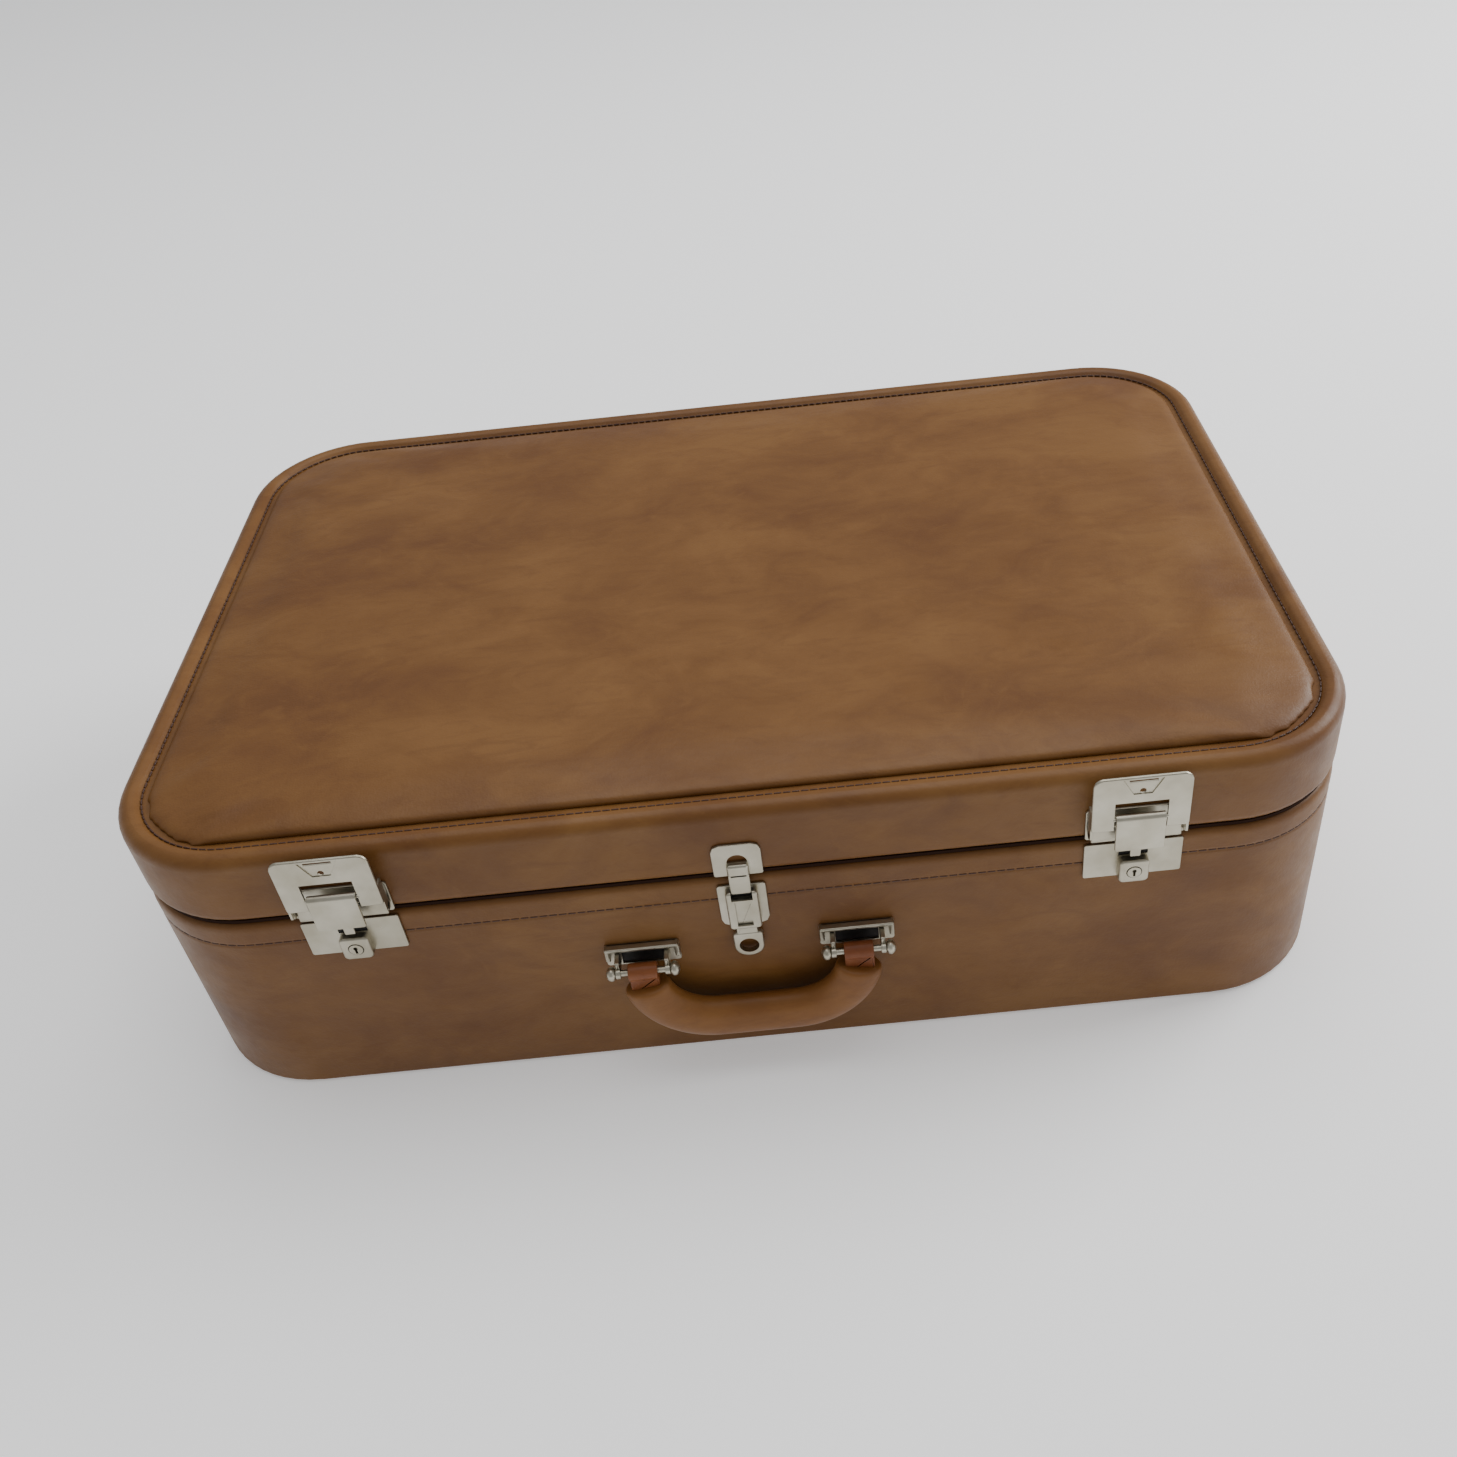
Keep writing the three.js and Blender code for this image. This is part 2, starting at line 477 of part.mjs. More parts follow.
function makeDeck() {
  const hole = (x, y, r, sides = 16) => rod("z", r, deckBottom - 1, deckTop + 1, sides).translate(x, y, 0);
  const [driveX, driveY] = drivePoint((idlerReach + pulleyReach) / 2);
  const deck = cut(casePlate(deckInset, deckBottom, deckTop),
    hole(platterX, platterY, 8), hole(driveX, driveY, driveHole, 24), hole(armX, armY, 6),
    hole(speakerX, speakerY, speakerRadius - 6, 28),
    ...knobX.map((x) => hole(x, knobY, knobShaftRadius + 0.6, 12)),
    hole(selectorX, selectorY, 3.6, 12),
    block(inletX - 14.4, inletX + 14.4, inletY - 9.4, inletY + 9.4, deckBottom - 4, deckTop + 5));
  add("deck_plate", deck, deckPaint);
  // Speaker under a slotted grille.
  const grilleWidth = 136, grilleLength = 176, slots = 14, pitch = 10.5;
  const grille = plate(grilleWidth, grilleLength, 12, deckTop + touchGap, deckTop + 2.6, 3);
  const tools = [];
  for (let i = 0; i < slots; i++) {
    const y = (i - (slots - 1) / 2) * pitch;
    const slotHalf = grilleWidth / 2 - 12;
    tools.push(block(-slotHalf, slotHalf, y - 2.6, y + 2.6, deckTop - 1, deckTop + 4));
  }
  add("speaker_grille", cut(grille, ...tools).translate(speakerX, speakerY, 0), aluminium);
  const mouth = deckBottom - touchGap, r = speakerRadius;
  add("speaker", turned([
    [0, mouth - 47], [26, mouth - 47], [26, mouth - 33], [36, mouth - 28], [r - 5, mouth - 4],
    [r, mouth - 4], [r, mouth], [r - 7, mouth], [16, mouth - 22], [0, mouth - 19],
  ]).translate(speakerX, speakerY, 0), blackPlastic);
  // Amplifier board on posts, with its mains transformer, under the knobs.
  const boardZ = 52, postTop = deckBottom - touchGap, ax = (knobX[0] + knobX[1]) / 2;
  const posts = [[-60, -24], [60, -24], [-60, 24], [60, 24]].map(([x, y]) =>
    rod("z", 3, boardZ, postTop, 8).translate(ax + x, knobY + y, 0));
  const pots = knobX.map((x) => cut(rod("z", 9, boardZ, boardZ + 12).translate(x, knobY, 0),
    rod("z", knobShaftRadius + 0.4, boardZ + 3, boardZ + 20, 12).translate(x, knobY, 0)));
  add("amplifier", join(block(ax - 68, ax + 68, knobY - 32, knobY + 32, boardZ, boardZ + 1.6),
    block(ax - 20, ax + 20, knobY - 16, knobY + 18, boardZ + 1, boardZ + 26),
    ...posts, ...pots), blackPlastic);
  // Knobs: fluted, each on a shaft down to its potentiometer.
  ["volume_knob", "tone_knob"].forEach((name, i) => {
    const top = deckTop + 0.8 + knobHeight;
    const flutes = [], fluteCount = 12;
    for (let k = 0; k < fluteCount; k++) {
      const turn = k * 2 * Math.PI / fluteCount;
      flutes.push(rod("z", 1.2, deckTop + 4, top + 1, 4)
        .translate(knobRadius * Math.cos(turn), knobRadius * Math.sin(turn), 0));
    }
    const knob = cut(join(turned([
      [0, deckTop + 0.8], [knobRadius + 2, deckTop + 0.8], [knobRadius + 2, deckTop + 2.4],
      [knobRadius, deckTop + 3.4], [knobRadius - 1, top - 1], [knobRadius - 2.2, top], [0, top],
    ]), rod("z", knobShaftRadius, boardZ + 5, deckTop + 3, 12)), ...flutes);
    add(name, knob.translate(knobX[i], knobY, 0), blackPlastic);
  });
  // Speed selector: a disc on a shaft with a finger lever.
  const lever = join(
    turned([[0, deckTop - 20], [3, deckTop - 20], [3, deckTop + 0.8], [11, deckTop + 0.8],
      [11, deckTop + 3.6], [9.6, deckTop + 4.6], [0, deckTop + 4.6]]),
    block(-3, 3, 0, 24, deckTop + 1, deckTop + 4), block(-4, 4, 19, 24, deckTop + 1, deckTop + 9));
  add("speed_selector", lever.rotateZ(-Math.PI / 2).translate(selectorX, selectorY, 0), blackPlastic);
  // Mains inlet: a socket let into the deck at the back.
  add("mains_inlet", cut(
    join(plate(34, 24, 3, deckTop + touchGap, deckTop + 2.2), plate(28, 18, 3, deckTop - 22, deckTop + 1)),
    plate(20, 10, 4, deckTop - 14, deckTop + 4)).translate(inletX, inletY, 0), blackPlastic);
}

function makePlatter() {
  const place = (shape) => shape.translate(platterX, platterY, 0);
  const hub = 14, bore = spindleRadius + 0.5, underside = platterTop - 3.5;
  add("platter", place(turned([
    [bore, platterBottom + 1], [hub, platterBottom + 1], [hub, underside], [driveRimRadius, underside],
    [driveRimRadius, platterBottom], [platterRadius - 1, platterBottom], [platterRadius, platterBottom + 1],
    [platterRadius, platterTop - 1.5], [platterRadius - 1.5, platterTop], [bore, platterTop],
    [bore, platterBottom + 1],
  ], 48)), aluminium);
  add("platter_mat", place(turned([
    [bore + 1, matBottom], [platterRadius - 5, matBottom], [platterRadius - 4, matBottom + 0.8],
    [platterRadius - 5, matBottom + matThickness], [bore + 1, matBottom + matThickness],
    [bore + 1, matBottom],
  ], 48)), rubber);
  const foot = deckBottom - 20;
  add("spindle", place(turned([
    [0, foot + 1.3], [spindleRadius, foot + 1.3], [spindleRadius, spindleTop - 3], [2, spindleTop - 0.6],
    [0, spindleTop],
  ], 12)), steel);
  add("bearing_housing", place(turned([
    [0, foot - 3], [7, foot - 3], [7, deckBottom - 4], [16, deckBottom - 4],
    [16, deckBottom - touchGap], [7, deckBottom - touchGap], [7, platterBottom - 0.6],
    [spindleRadius + 0.4, platterBottom - 0.6],
    [spindleRadius + 0.4, foot + 1], [0, foot + 1],
  ], 16)), steel);
  // Rim drive: the motor's stepped pulley turns an idler wheel that runs on the inside of the platter's rim.
  const motorPlate = driveHole + 16, motorFoot = deckBottom - 50;
  const [px, py] = drivePoint(pulleyReach), [ix, iy] = drivePoint(idlerReach);
  add("motor", turned([
    [0, motorFoot], [27, motorFoot], [27, deckBottom - 8], [motorPlate, deckBottom - 8],
    [motorPlate, deckBottom - touchGap], [2.1, deckBottom - touchGap], [2.1, deckBottom - 16],
    [0, deckBottom - 16],
  ], 28).translate(px, py, 0), steel);
  add("motor_pulley", turned([
    [0, deckBottom - 15], [1.6, deckBottom - 15], [1.6, deckTop + 1], [pulleyRadius, deckTop + 2],
    [pulleyRadius, platterBottom + 6], [2, platterBottom + 6.4], [0, platterBottom + 6.4],
  ], 16).translate(px, py, 0), aluminium);
  const wheelLow = platterBottom + 1.2, wheelHigh = platterBottom + 5;
  add("idler_wheel", turned([
    [2.4, wheelLow], [idlerRadius - 1, wheelLow], [idlerRadius, wheelLow + 0.8],
    [idlerRadius, wheelHigh - 0.8], [idlerRadius - 1, wheelHigh], [2.4, wheelHigh], [2.4, wheelLow],
  ], 28).translate(ix, iy, 0), rubber);
  // The idler's arm runs under the wheel to a foot on the deck.
  const arm = join(rod("z", 1.9, deckTop - 3, wheelHigh + 0.6),
    block(-4, 4, -21, 3, deckTop - 2.8, deckTop - 1.2),
    block(-4, 4, -21, -19, deckTop - 2.8, deckTop + 1.6),
    block(-4, 4, -38, -19, deckTop + touchGap, deckTop + 1.6));
  add("idler_arm", arm.rotateZ(driveTurn).translate(ix, iy, 0), steel);
}

function makeTonearm() {
  const place = (shape) => shape.translate(armX, armY, 0);
  const baseTop = deckTop + 20, shaft = 2.6, earIn = 8.2, earOut = 10.4;
  add("tonearm_base", place(turned([
    [shaft + 0.4, deckBottom - 6], [5.4, deckBottom - 6], [5.4, deckTop + touchGap],
    [17, deckTop + touchGap], [17, deckTop + 4], [13, deckTop + 6], [12, baseTop],
    [shaft + 0.4, baseTop], [shaft + 0.4, deckBottom - 6],
  ])), aluminium);
  const ear = (sign) => join(
    block(sign > 0 ? earIn : -earOut, sign > 0 ? earOut : -earIn, -3.5, 3.5, baseTop + 1, armZ),
    rod("x", 3.5, sign > 0 ? earIn : -earOut, sign > 0 ? earOut : -earIn).translate(0, 0, armZ));
  add("tonearm_yoke", place(cut(join(
    turned([[0, deckBottom - 4], [shaft, deckBottom - 4], [shaft, baseTop + touchGap],
      [12, baseTop + touchGap], [12, baseTop + 2.6], [0, baseTop + 2.6]]),
    ear(1), ear(-1)), rod("x", 1.8, -12, 12, 12).translate(0, 0, armZ))), steel);
  // The arm: a straight tube with its cross shaft, a tail for the counterweight, and a headshell.
  const shellBack = -armLength + 30, shellHalf = 2.3;
  const shell = new THREE.Shape();
  shell.moveTo(-5, shellBack + 12);
  shell.lineTo(5, shellBack + 12).lineTo(11, shellBack).lineTo(10, shellBack - 32);
  shell.quadraticCurveTo(0, shellBack - 42, -10, shellBack - 32);
  shell.lineTo(-11, shellBack);
  const shellOptions = { depth: 2 * shellHalf, bevelEnabled: false, curveSegments: 8 };
  const shellGeometry = new THREE.ExtrudeGeometry(shell, shellOptions).translate(0, 0, armZ - shellHalf);
  const liftTab = block(10, 22, shellBack - 22, shellBack - 19, armZ - 0.9, armZ + 0.9);
  add("tonearm", place(join(
    rod("y", armTubeRadius, shellBack + 4, 22).translate(0, 0, armZ),
    rod("y", 2.4, 20, 52, 12).translate(0, 0, armZ),
    block(-6, 6, -8, 8, armZ - 6, armZ + 6), rod("x", 1.5, -earOut, earOut).translate(0, 0, armZ),
    shellGeometry, liftTab)), aluminium);
  const cellTop = armZ - shellHalf - touchGap;
  const stylus = new THREE.ConeGeometry(0.9, 2.6, 8).rotateX(-Math.PI / 2);
  stylus.translate(0, shellBack - 26, cellTop - 9.6);
  add("cartridge", place(join(
    block(-7, 7, shellBack - 28, shellBack - 4, cellTop - 7, cellTop),
    block(-3.5, 3.5, shellBack - 29, shellBack - 15, cellTop - 8.6, cellTop - 6.5), stylus)), blackPlastic);
  const weight = cut(rod("y", 11, 26, 44, 20), rod("y", 2.7, 20, 50));
  add("counterweight", place(weight.translate(0, 0, armZ)), steel);
  // Arm rest: a post whose cradle is open on the platter's side, so that the arm can swing straight out.
  const cradle = armZ - armTubeRadius - 0.4;
  add("arm_rest", join(
    turned([[0, deckTop + touchGap], [7, deckTop + touchGap], [7, deckTop + 2], [3.6, deckTop + 4],
      [3.6, cradle - 2], [0, cradle - 2]], 12),
    block(-5, 8.4, -4, 4, cradle - 3, cradle), block(5.6, 8.4, -4, 4, cradle - 1, armZ + 4),
  ).translate(armX, restY, 0), blackPlastic);
}

makeBase();
makeLid();
makeHinge("left", -hingeX);
makeHinge("right", hingeX);
makeLatch("left", -latchX);
makeLatch("right", latchX);
makeCatch();
makeHandle();
makeDeck();
makePlatter();
makeTonearm();

export default part;
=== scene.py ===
import json
import math

import bpy
from mathutils import Matrix, Vector

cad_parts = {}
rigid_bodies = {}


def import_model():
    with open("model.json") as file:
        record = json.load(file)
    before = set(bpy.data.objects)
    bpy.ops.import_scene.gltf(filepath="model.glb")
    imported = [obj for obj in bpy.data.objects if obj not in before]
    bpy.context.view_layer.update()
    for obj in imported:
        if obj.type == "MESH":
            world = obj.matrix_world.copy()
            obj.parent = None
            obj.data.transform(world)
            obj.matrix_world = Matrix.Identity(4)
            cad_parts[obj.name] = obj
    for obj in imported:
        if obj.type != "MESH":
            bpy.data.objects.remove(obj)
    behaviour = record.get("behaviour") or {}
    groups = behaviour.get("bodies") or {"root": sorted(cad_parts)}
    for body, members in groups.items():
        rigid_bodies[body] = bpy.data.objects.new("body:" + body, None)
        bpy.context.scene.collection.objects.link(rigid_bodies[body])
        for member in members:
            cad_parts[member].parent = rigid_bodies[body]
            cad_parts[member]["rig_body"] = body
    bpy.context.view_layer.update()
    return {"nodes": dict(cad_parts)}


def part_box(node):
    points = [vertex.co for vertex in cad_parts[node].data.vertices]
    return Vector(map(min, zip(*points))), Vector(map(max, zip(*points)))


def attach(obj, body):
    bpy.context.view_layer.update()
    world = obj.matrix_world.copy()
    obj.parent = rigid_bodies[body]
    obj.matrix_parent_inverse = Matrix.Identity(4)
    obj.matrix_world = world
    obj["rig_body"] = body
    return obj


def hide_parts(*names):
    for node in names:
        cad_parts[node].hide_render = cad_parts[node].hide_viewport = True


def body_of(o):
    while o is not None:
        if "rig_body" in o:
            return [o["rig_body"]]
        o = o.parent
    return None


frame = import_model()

bpy.ops.object.select_all(action="DESELECT")

# ---------- camera, floor and light ----------
# A plain pale floor in a soft studio: a broad key light from the right and a little behind, a weak fill
# from the front right, a broad light above, and a pale sky.
view_turn, view_height, view_roll = math.radians(1.01), math.radians(39.97), math.radians(-6.44)
view_target, view_distance = Vector((0.0328, 0.0, 0.0422)), 0.8844
back = Vector((math.sin(view_turn) * math.cos(view_height), -math.cos(view_turn) * math.cos(view_height),
               math.sin(view_height)))
level = Vector((math.cos(view_turn), math.sin(view_turn), 0))
side = math.cos(view_roll) * level + math.sin(view_roll) * back.cross(level)
bpy.ops.object.camera_add(location=view_target + view_distance * back)
camera = bpy.context.object
camera.matrix_world = Matrix.Translation(camera.location) @ Matrix(
    (side, back.cross(side), back)).transposed().to_4x4()
camera.data.lens = 35.48
camera.data.sensor_width = 36
camera.data.shift_x = -0.049
bpy.context.scene.camera = camera

bpy.ops.mesh.primitive_plane_add(size=14, location=(0, 0, -0.0004))
floor = bpy.context.object
floor.name = "studio_floor"


def material(name, colour, roughness, metallic=0.0, **sockets):
    made = bpy.data.materials.new(name)
    made.use_nodes = True
    shader = made.node_tree.nodes["Principled BSDF"]
    shader.inputs["Base Color"].default_value = (*colour, 1)
    shader.inputs["Roughness"].default_value = roughness
    shader.inputs["Metallic"].default_value = metallic
    for socket, value in sockets.items():
        shader.inputs[socket.replace("_", " ")].default_value = value
    return made


def node(owner, kind, inputs=None, **settings):
    """A node of a material, with each input set to a number or joined to another node's output."""
    made = owner.node_tree.nodes.new("ShaderNode" + kind)
    for setting, value in settings.items():
        setattr(made, setting, value)
    for socket, value in (inputs or {}).items():
        if isinstance(value, bpy.types.NodeSocket):
            owner.node_tree.links.new(value, made.inputs[socket])
        else:
            made.inputs[socket].default_value = value
    return made


def finish_with(owner, **outputs):
    """Joins node outputs to the material's shader, by the shader's socket names."""
    shader = owner.node_tree.nodes["Principled BSDF"]
    for socket, output in outputs.items():
        owner.node_tree.links.new(output, shader.inputs[socket.replace("_", " ")])


pale = material("studio_pale", (0.94, 0.94, 0.94), 0.9, Emission_Color=(1, 1, 1, 1), Emission_Strength=0.3)
speckle = node(pale, "TexNoise", {"Scale": 40, "Detail": 2})
pale_mix = node(pale, "MapRange", {"Value": speckle.outputs["Fac"], "To Min": 0.88, "To Max": 0.92})
finish_with(pale, Roughness=pale_mix.outputs["Result"])
floor.data.materials.append(pale)

world = bpy.data.worlds.new("studio_sky")
world.use_nodes = True
world.node_tree.nodes["Background"].inputs["Color"].default_value = (0.97, 0.98, 1, 1)
world.node_tree.nodes["Background"].inputs["Strength"].default_value = 0.46
bpy.context.scene.world = world

for name, place, power, size in (("key", (2.3, 0.9, 1.4), 64, 1.6), ("fill", (2.4, -1.6, 1.0), 5, 2.0),
                                 ("top", (0.1, 0.5, 2.6), 34, 2.2)):
    bpy.ops.object.light_add(type="AREA", location=place)
    lamp = bpy.context.object
    lamp.name = name + "_light"
    lamp.data.energy = power
    lamp.data.size = size
    lamp.rotation_euler = (Vector((0, 0, 0.1)) - Vector(place)).to_track_quat("-Z", "Y").to_euler()

# ---------- boards of the case: floor, walls, ledge and lid board ----------
# Bent birch ply and thin board, glued at the corners. They carry the cover and show only inside the open
# case.
mm = 0.001
case_low, case_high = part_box("base_cover")
width, depth = case_high.x - case_low.x, case_high.y - case_low.y
base_top, lid_bottom, rim_top = case_high.z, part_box("lid_cover")[0].z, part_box("lid_cover")[1].z
front_face = case_low.y
corner = 64 * mm


def object_coordinates(owner, scale=(1, 1, 1), turn=(0, 0, 0)):
    place = node(owner, "TexCoord")
    return node(owner, "Mapping", {"Vector": place.outputs["Object"], "Scale": scale,
                                   "Rotation": turn}).outputs["Vector"]


def ramp(owner, fac, *stops):
    """A colour ramp of (place, colour) stops."""
    made = node(owner, "ValToRGB", {"Fac": fac})
    bar = made.color_ramp.elements
    while len(bar) < len(stops):
        bar.new(0.5)
    for element, (place, colour) in zip(bar, stops):
        element.position = place
        element.color = (*colour, 1)
    return made.outputs["Color"]


def bump(owner, height, distance, strength=1.0, under=None):
    inputs = {"Height": height, "Distance": distance, "Strength": strength}
    if under is not None:
        inputs["Normal"] = under
    return node(owner, "Bump", inputs).outputs["Normal"]


ply = material("birch_ply", (0.5, 0.36, 0.22), 0.7)
rings = node(ply, "TexNoise", {"Vector": object_coordinates(ply, (6, 6, 160)), "Scale": 3, "Detail": 6})
finish_with(ply, Base_Color=ramp(ply, rings.outputs["Fac"],
                                 (0.3, (0.42, 0.28, 0.15)), (0.7, (0.58, 0.43, 0.27))),
            Normal=bump(ply, rings.outputs["Fac"], 0.0002))


def give(piece, finish):
    piece.data.materials.clear()
    piece.data.materials.append(finish)


for name in ("base_wall", "deck_ledge", "lid_wall", "lid_board"):
    give(frame["nodes"][name], ply)

# ---------- vinyl cover of the base ----------
# Embossed leatherette in marbled tan, wrapped round the wall and turned over its top edge. A row of
# stitches holds the band below the opening, and pulls a shallow furrow into the sheet.


def leatherette(name, light, middle, dark, grain=1.0):
    """Marbled vinyl: clouds in three tones, dark streaks, pale wisps, a pebbled grain and uneven gloss."""
    made = material(name, middle, 0.45, Coat_Weight=0.03, Coat_Roughness=0.3, Specular_IOR_Level=0.3)
    where = object_coordinates(made, (1.0, 1.45, 1.45), (0, 0, math.radians(-28)))
    warp = node(made, "TexNoise", {"Vector": where, "Scale": 9, "Detail": 2})
    pushed = node(made, "VectorMath", {0: warp.outputs["Color"], "Scale": 0.11}, operation="SCALE")
    moved = node(made, "VectorMath", {0: where, 1: pushed.outputs["Vector"]},
                 operation="ADD").outputs["Vector"]
    cloud = node(made, "TexNoise", {"Vector": moved, "Scale": 11, "Detail": 7, "Roughness": 0.62})
    tone = ramp(made, cloud.outputs["Fac"], (0.34, dark), (0.5, middle), (0.64, light))
    stretched = object_coordinates(made, (1, 3.4, 3.4), (0, 0, math.radians(34)))
    streak = node(made, "TexNoise", {"Vector": stretched, "Scale": 22, "Detail": 6, "Roughness": 0.7,
                                     "Distortion": 1.6})
    streak_mask = node(made, "MapRange", {"Value": streak.outputs["Fac"], "From Min": 0.5, "From Max": 0.72,
                                          "To Min": 0, "To Max": 0.55}).outputs["Result"]
    tone = node(made, "Mix", {"Factor": streak_mask, "A": tone, "B": (*dark, 1)},
                data_type="RGBA").outputs["Result"]
    wisp = node(made, "TexNoise", {"Vector": moved, "Scale": 34, "Detail": 5, "Roughness": 0.6,
                                   "Distortion": 2.2})
    wisp_mask = node(made, "MapRange", {"Value": wisp.outputs["Fac"], "From Min": 0.56, "From Max": 0.75,
                                        "To Min": 0, "To Max": 0.4}).outputs["Result"]
    tone = node(made, "Mix", {"Factor": wisp_mask, "A": tone, "B": (*light, 1)},
                data_type="RGBA").outputs["Result"]
    scuff = node(made, "TexNoise", {"Vector": where, "Scale": 26, "Detail": 8, "Roughness": 0.7})
    gloss = node(made, "MapRange", {"Value": scuff.outputs["Fac"], "From Min": 0.3, "From Max": 0.7,
                                    "To Min": 0.36, "To Max": 0.56}).outputs["Result"]
    close = object_coordinates(made)
    pebble = node(made, "TexVoronoi", {"Vector": close, "Scale": 900 / grain}, feature="SMOOTH_F1")
    crease = node(made, "TexNoise", {"Vector": close, "Scale": 260 / grain, "Detail": 4})
    relief = bump(made, pebble.outputs["Distance"], 0.00012, 0.5)
    relief = bump(made, crease.outputs["Fac"], 0.0003, 0.35, relief)
    finish_with(made, Base_Color=tone, Roughness=gloss, Normal=relief)
    return made


tan = leatherette("marbled_tan_vinyl", (0.182, 0.081, 0.019), (0.154, 0.064, 0.013), (0.118, 0.044, 0.008))
give(frame["nodes"]["base_floor"], tan)


def edit(mode="VERT"):
    bpy.ops.object.mode_set(mode="EDIT")
    bpy.ops.mesh.select_mode(type=mode)


def rounded_sheet(name, inset, height):
    """A flat sheet of the case's outline, drawn in by an inset, left selected in edit mode."""
    bpy.ops.object.select_all(action="DESELECT")
    bpy.ops.mesh.primitive_plane_add(size=1, location=(0, 0, height))
    made = bpy.context.object
    made.name = name
    made.scale = (width - 2 * inset, depth - 2 * inset, 1)
    bpy.ops.object.transform_apply(location=True, rotation=True, scale=True)
    edit()
    bpy.ops.mesh.select_all(action="SELECT")
    bpy.ops.mesh.bevel(offset=corner - inset, segments=14, affect="VERTICES")
    bpy.ops.mesh.select_mode(type="FACE")
    bpy.ops.mesh.select_all(action="SELECT")
    return made


def carry(inset, height, path):
    """Extends the selected face through (inset, height) places, in mm from the outline and the ground."""
    for next_inset, next_height in path:
        step = (next_inset * mm - inset) or 1e-7
        bpy.ops.mesh.inset(thickness=step, depth=next_height * mm - height)
        inset, height = next_inset * mm, next_height * mm


def select_where(piece, test, kind="faces"):
    """Selects the faces, edges or vertices of the piece in edit mode whose middle passes a test."""
    bpy.ops.mesh.select_mode(type={"faces": "FACE", "edges": "EDGE", "vertices": "VERT"}[kind])
    bpy.ops.mesh.select_all(action="DESELECT")
    bpy.ops.object.mode_set(mode="OBJECT")
    points = piece.data.vertices
    for item in getattr(piece.data, kind if kind != "faces" else "polygons"):
        if kind == "vertices":
            item.select = test(item.co)
        elif kind == "edges":
            item.select = test((points[item.vertices[0]].co + points[item.vertices[1]].co) / 2)
        else:
            item.select = test(item.center)
    bpy.ops.object.mode_set(mode="EDIT")


def apply(piece, kind, **settings):
    bpy.ops.object.mode_set(mode="OBJECT")
    modifier = piece.modifiers.new(kind.title(), kind)
    for setting, value in settings.items():
        setattr(modifier, setting, value)
    bpy.context.view_layer.objects.active = piece
    bpy.ops.object.modifier_apply(modifier=modifier.name)


def smooth(piece, angle=40):
    bpy.ops.object.mode_set(mode="OBJECT")
    bpy.ops.object.select_all(action="DESELECT")
    piece.select_set(True)
    bpy.context.view_layer.objects.active = piece
    edit()
    bpy.ops.mesh.select_all(action="SELECT")
    bpy.ops.mesh.customdata_custom_splitnormals_clear()
    bpy.ops.object.mode_set(mode="OBJECT")
    bpy.ops.object.shade_smooth_by_angle(angle=math.radians(angle))
    apply(piece, "WEIGHTED_NORMAL", keep_sharp=True)


def done(piece, body, finish, slot, *replaced):
    """Gives a finished piece its material and its body, and hides the CAD nodes that it stands for. The
    slot is not used.
    """
    give(piece, finish)
    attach(piece, body)
    if replaced:
        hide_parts(*replaced)
    return piece


def band(name, middle, upward, downward):
    """A skin round the case: two sheets at its widest outline, one carried up and one down, joined."""
    over = rounded_sheet(name, 0, middle * mm)
    carry(0, middle * mm, upward)
    bpy.ops.object.mode_set(mode="OBJECT")
    under = rounded_sheet(name + "_under", 0, middle * mm)
    carry(0, middle * mm, downward)
    bpy.ops.object.mode_set(mode="OBJECT")
    over.select_set(True)
    bpy.context.view_layer.objects.active = over
    bpy.ops.object.join()
    edit()
    bpy.ops.mesh.select_all(action="SELECT")
    bpy.ops.mesh.remove_doubles(threshold=1e-6)
    select_where(over, lambda c: abs(c.x) < mm and abs(c.y) < mm)
    bpy.ops.mesh.delete(type="FACE")
    bpy.ops.mesh.select_all(action="SELECT")
    bpy.ops.mesh.normals_make_consistent(inside=False)
    return over


top = base_top / mm
stitch_height = top - 13.5
base_cover = band("base_cover_skin", 60, [
    (0, stitch_height - 2), (0, stitch_height - 1), (0, stitch_height), (0, stitch_height + 1),
    (0, stitch_height + 2), (0, top - 4.6), (0.3, top - 2.6), (1.1, top - 1.1), (2.4, top - 0.3), (4, top),
    (7.5, top)], [(0, 3.2), (0.35, 1.6), (1.2, 1.2)])
for reach, press in ((0.2, 0.45), (1.2, 0.2)):
    select_where(base_cover, lambda c: abs(c.z - stitch_height * mm) < reach * mm, "edges")
    bpy.ops.transform.shrink_fatten(value=-press * mm)
apply(base_cover, "SOLIDIFY", thickness=1.1 * mm, offset=-1)
smooth(base_cover, 50)
done(base_cover, "case_base", tan, "leatherette", "base_cover")

# A dark strip edges the mouth of the base. It is painted shade, so that the closed case shows a dark line
# between base and lid where the gap lies in shade.
gap_shade_finish = material("painted_gap_shade_vinyl", (0.022, 0.009, 0.005), 0.9, Specular_IOR_Level=0.1)
ribbing = node(gap_shade_finish, "TexWave", {"Vector": object_coordinates(gap_shade_finish), "Scale": 500,
                                        "Distortion": 1.0})
finish_with(gap_shade_finish, Normal=bump(gap_shade_finish, ribbing.outputs["Fac"], 0.0001, 0.5))
shade_strip = rounded_sheet("painted_gap_shade", 2.2 * mm, base_top + 0.1 * mm)
bpy.ops.mesh.inset(thickness=5.2 * mm)
bpy.ops.mesh.delete(type="FACE")
apply(shade_strip, "SOLIDIFY", thickness=1.9 * mm, offset=1)
smooth(shade_strip)
done(shade_strip, "case_base", gap_shade_finish, "leatherette")

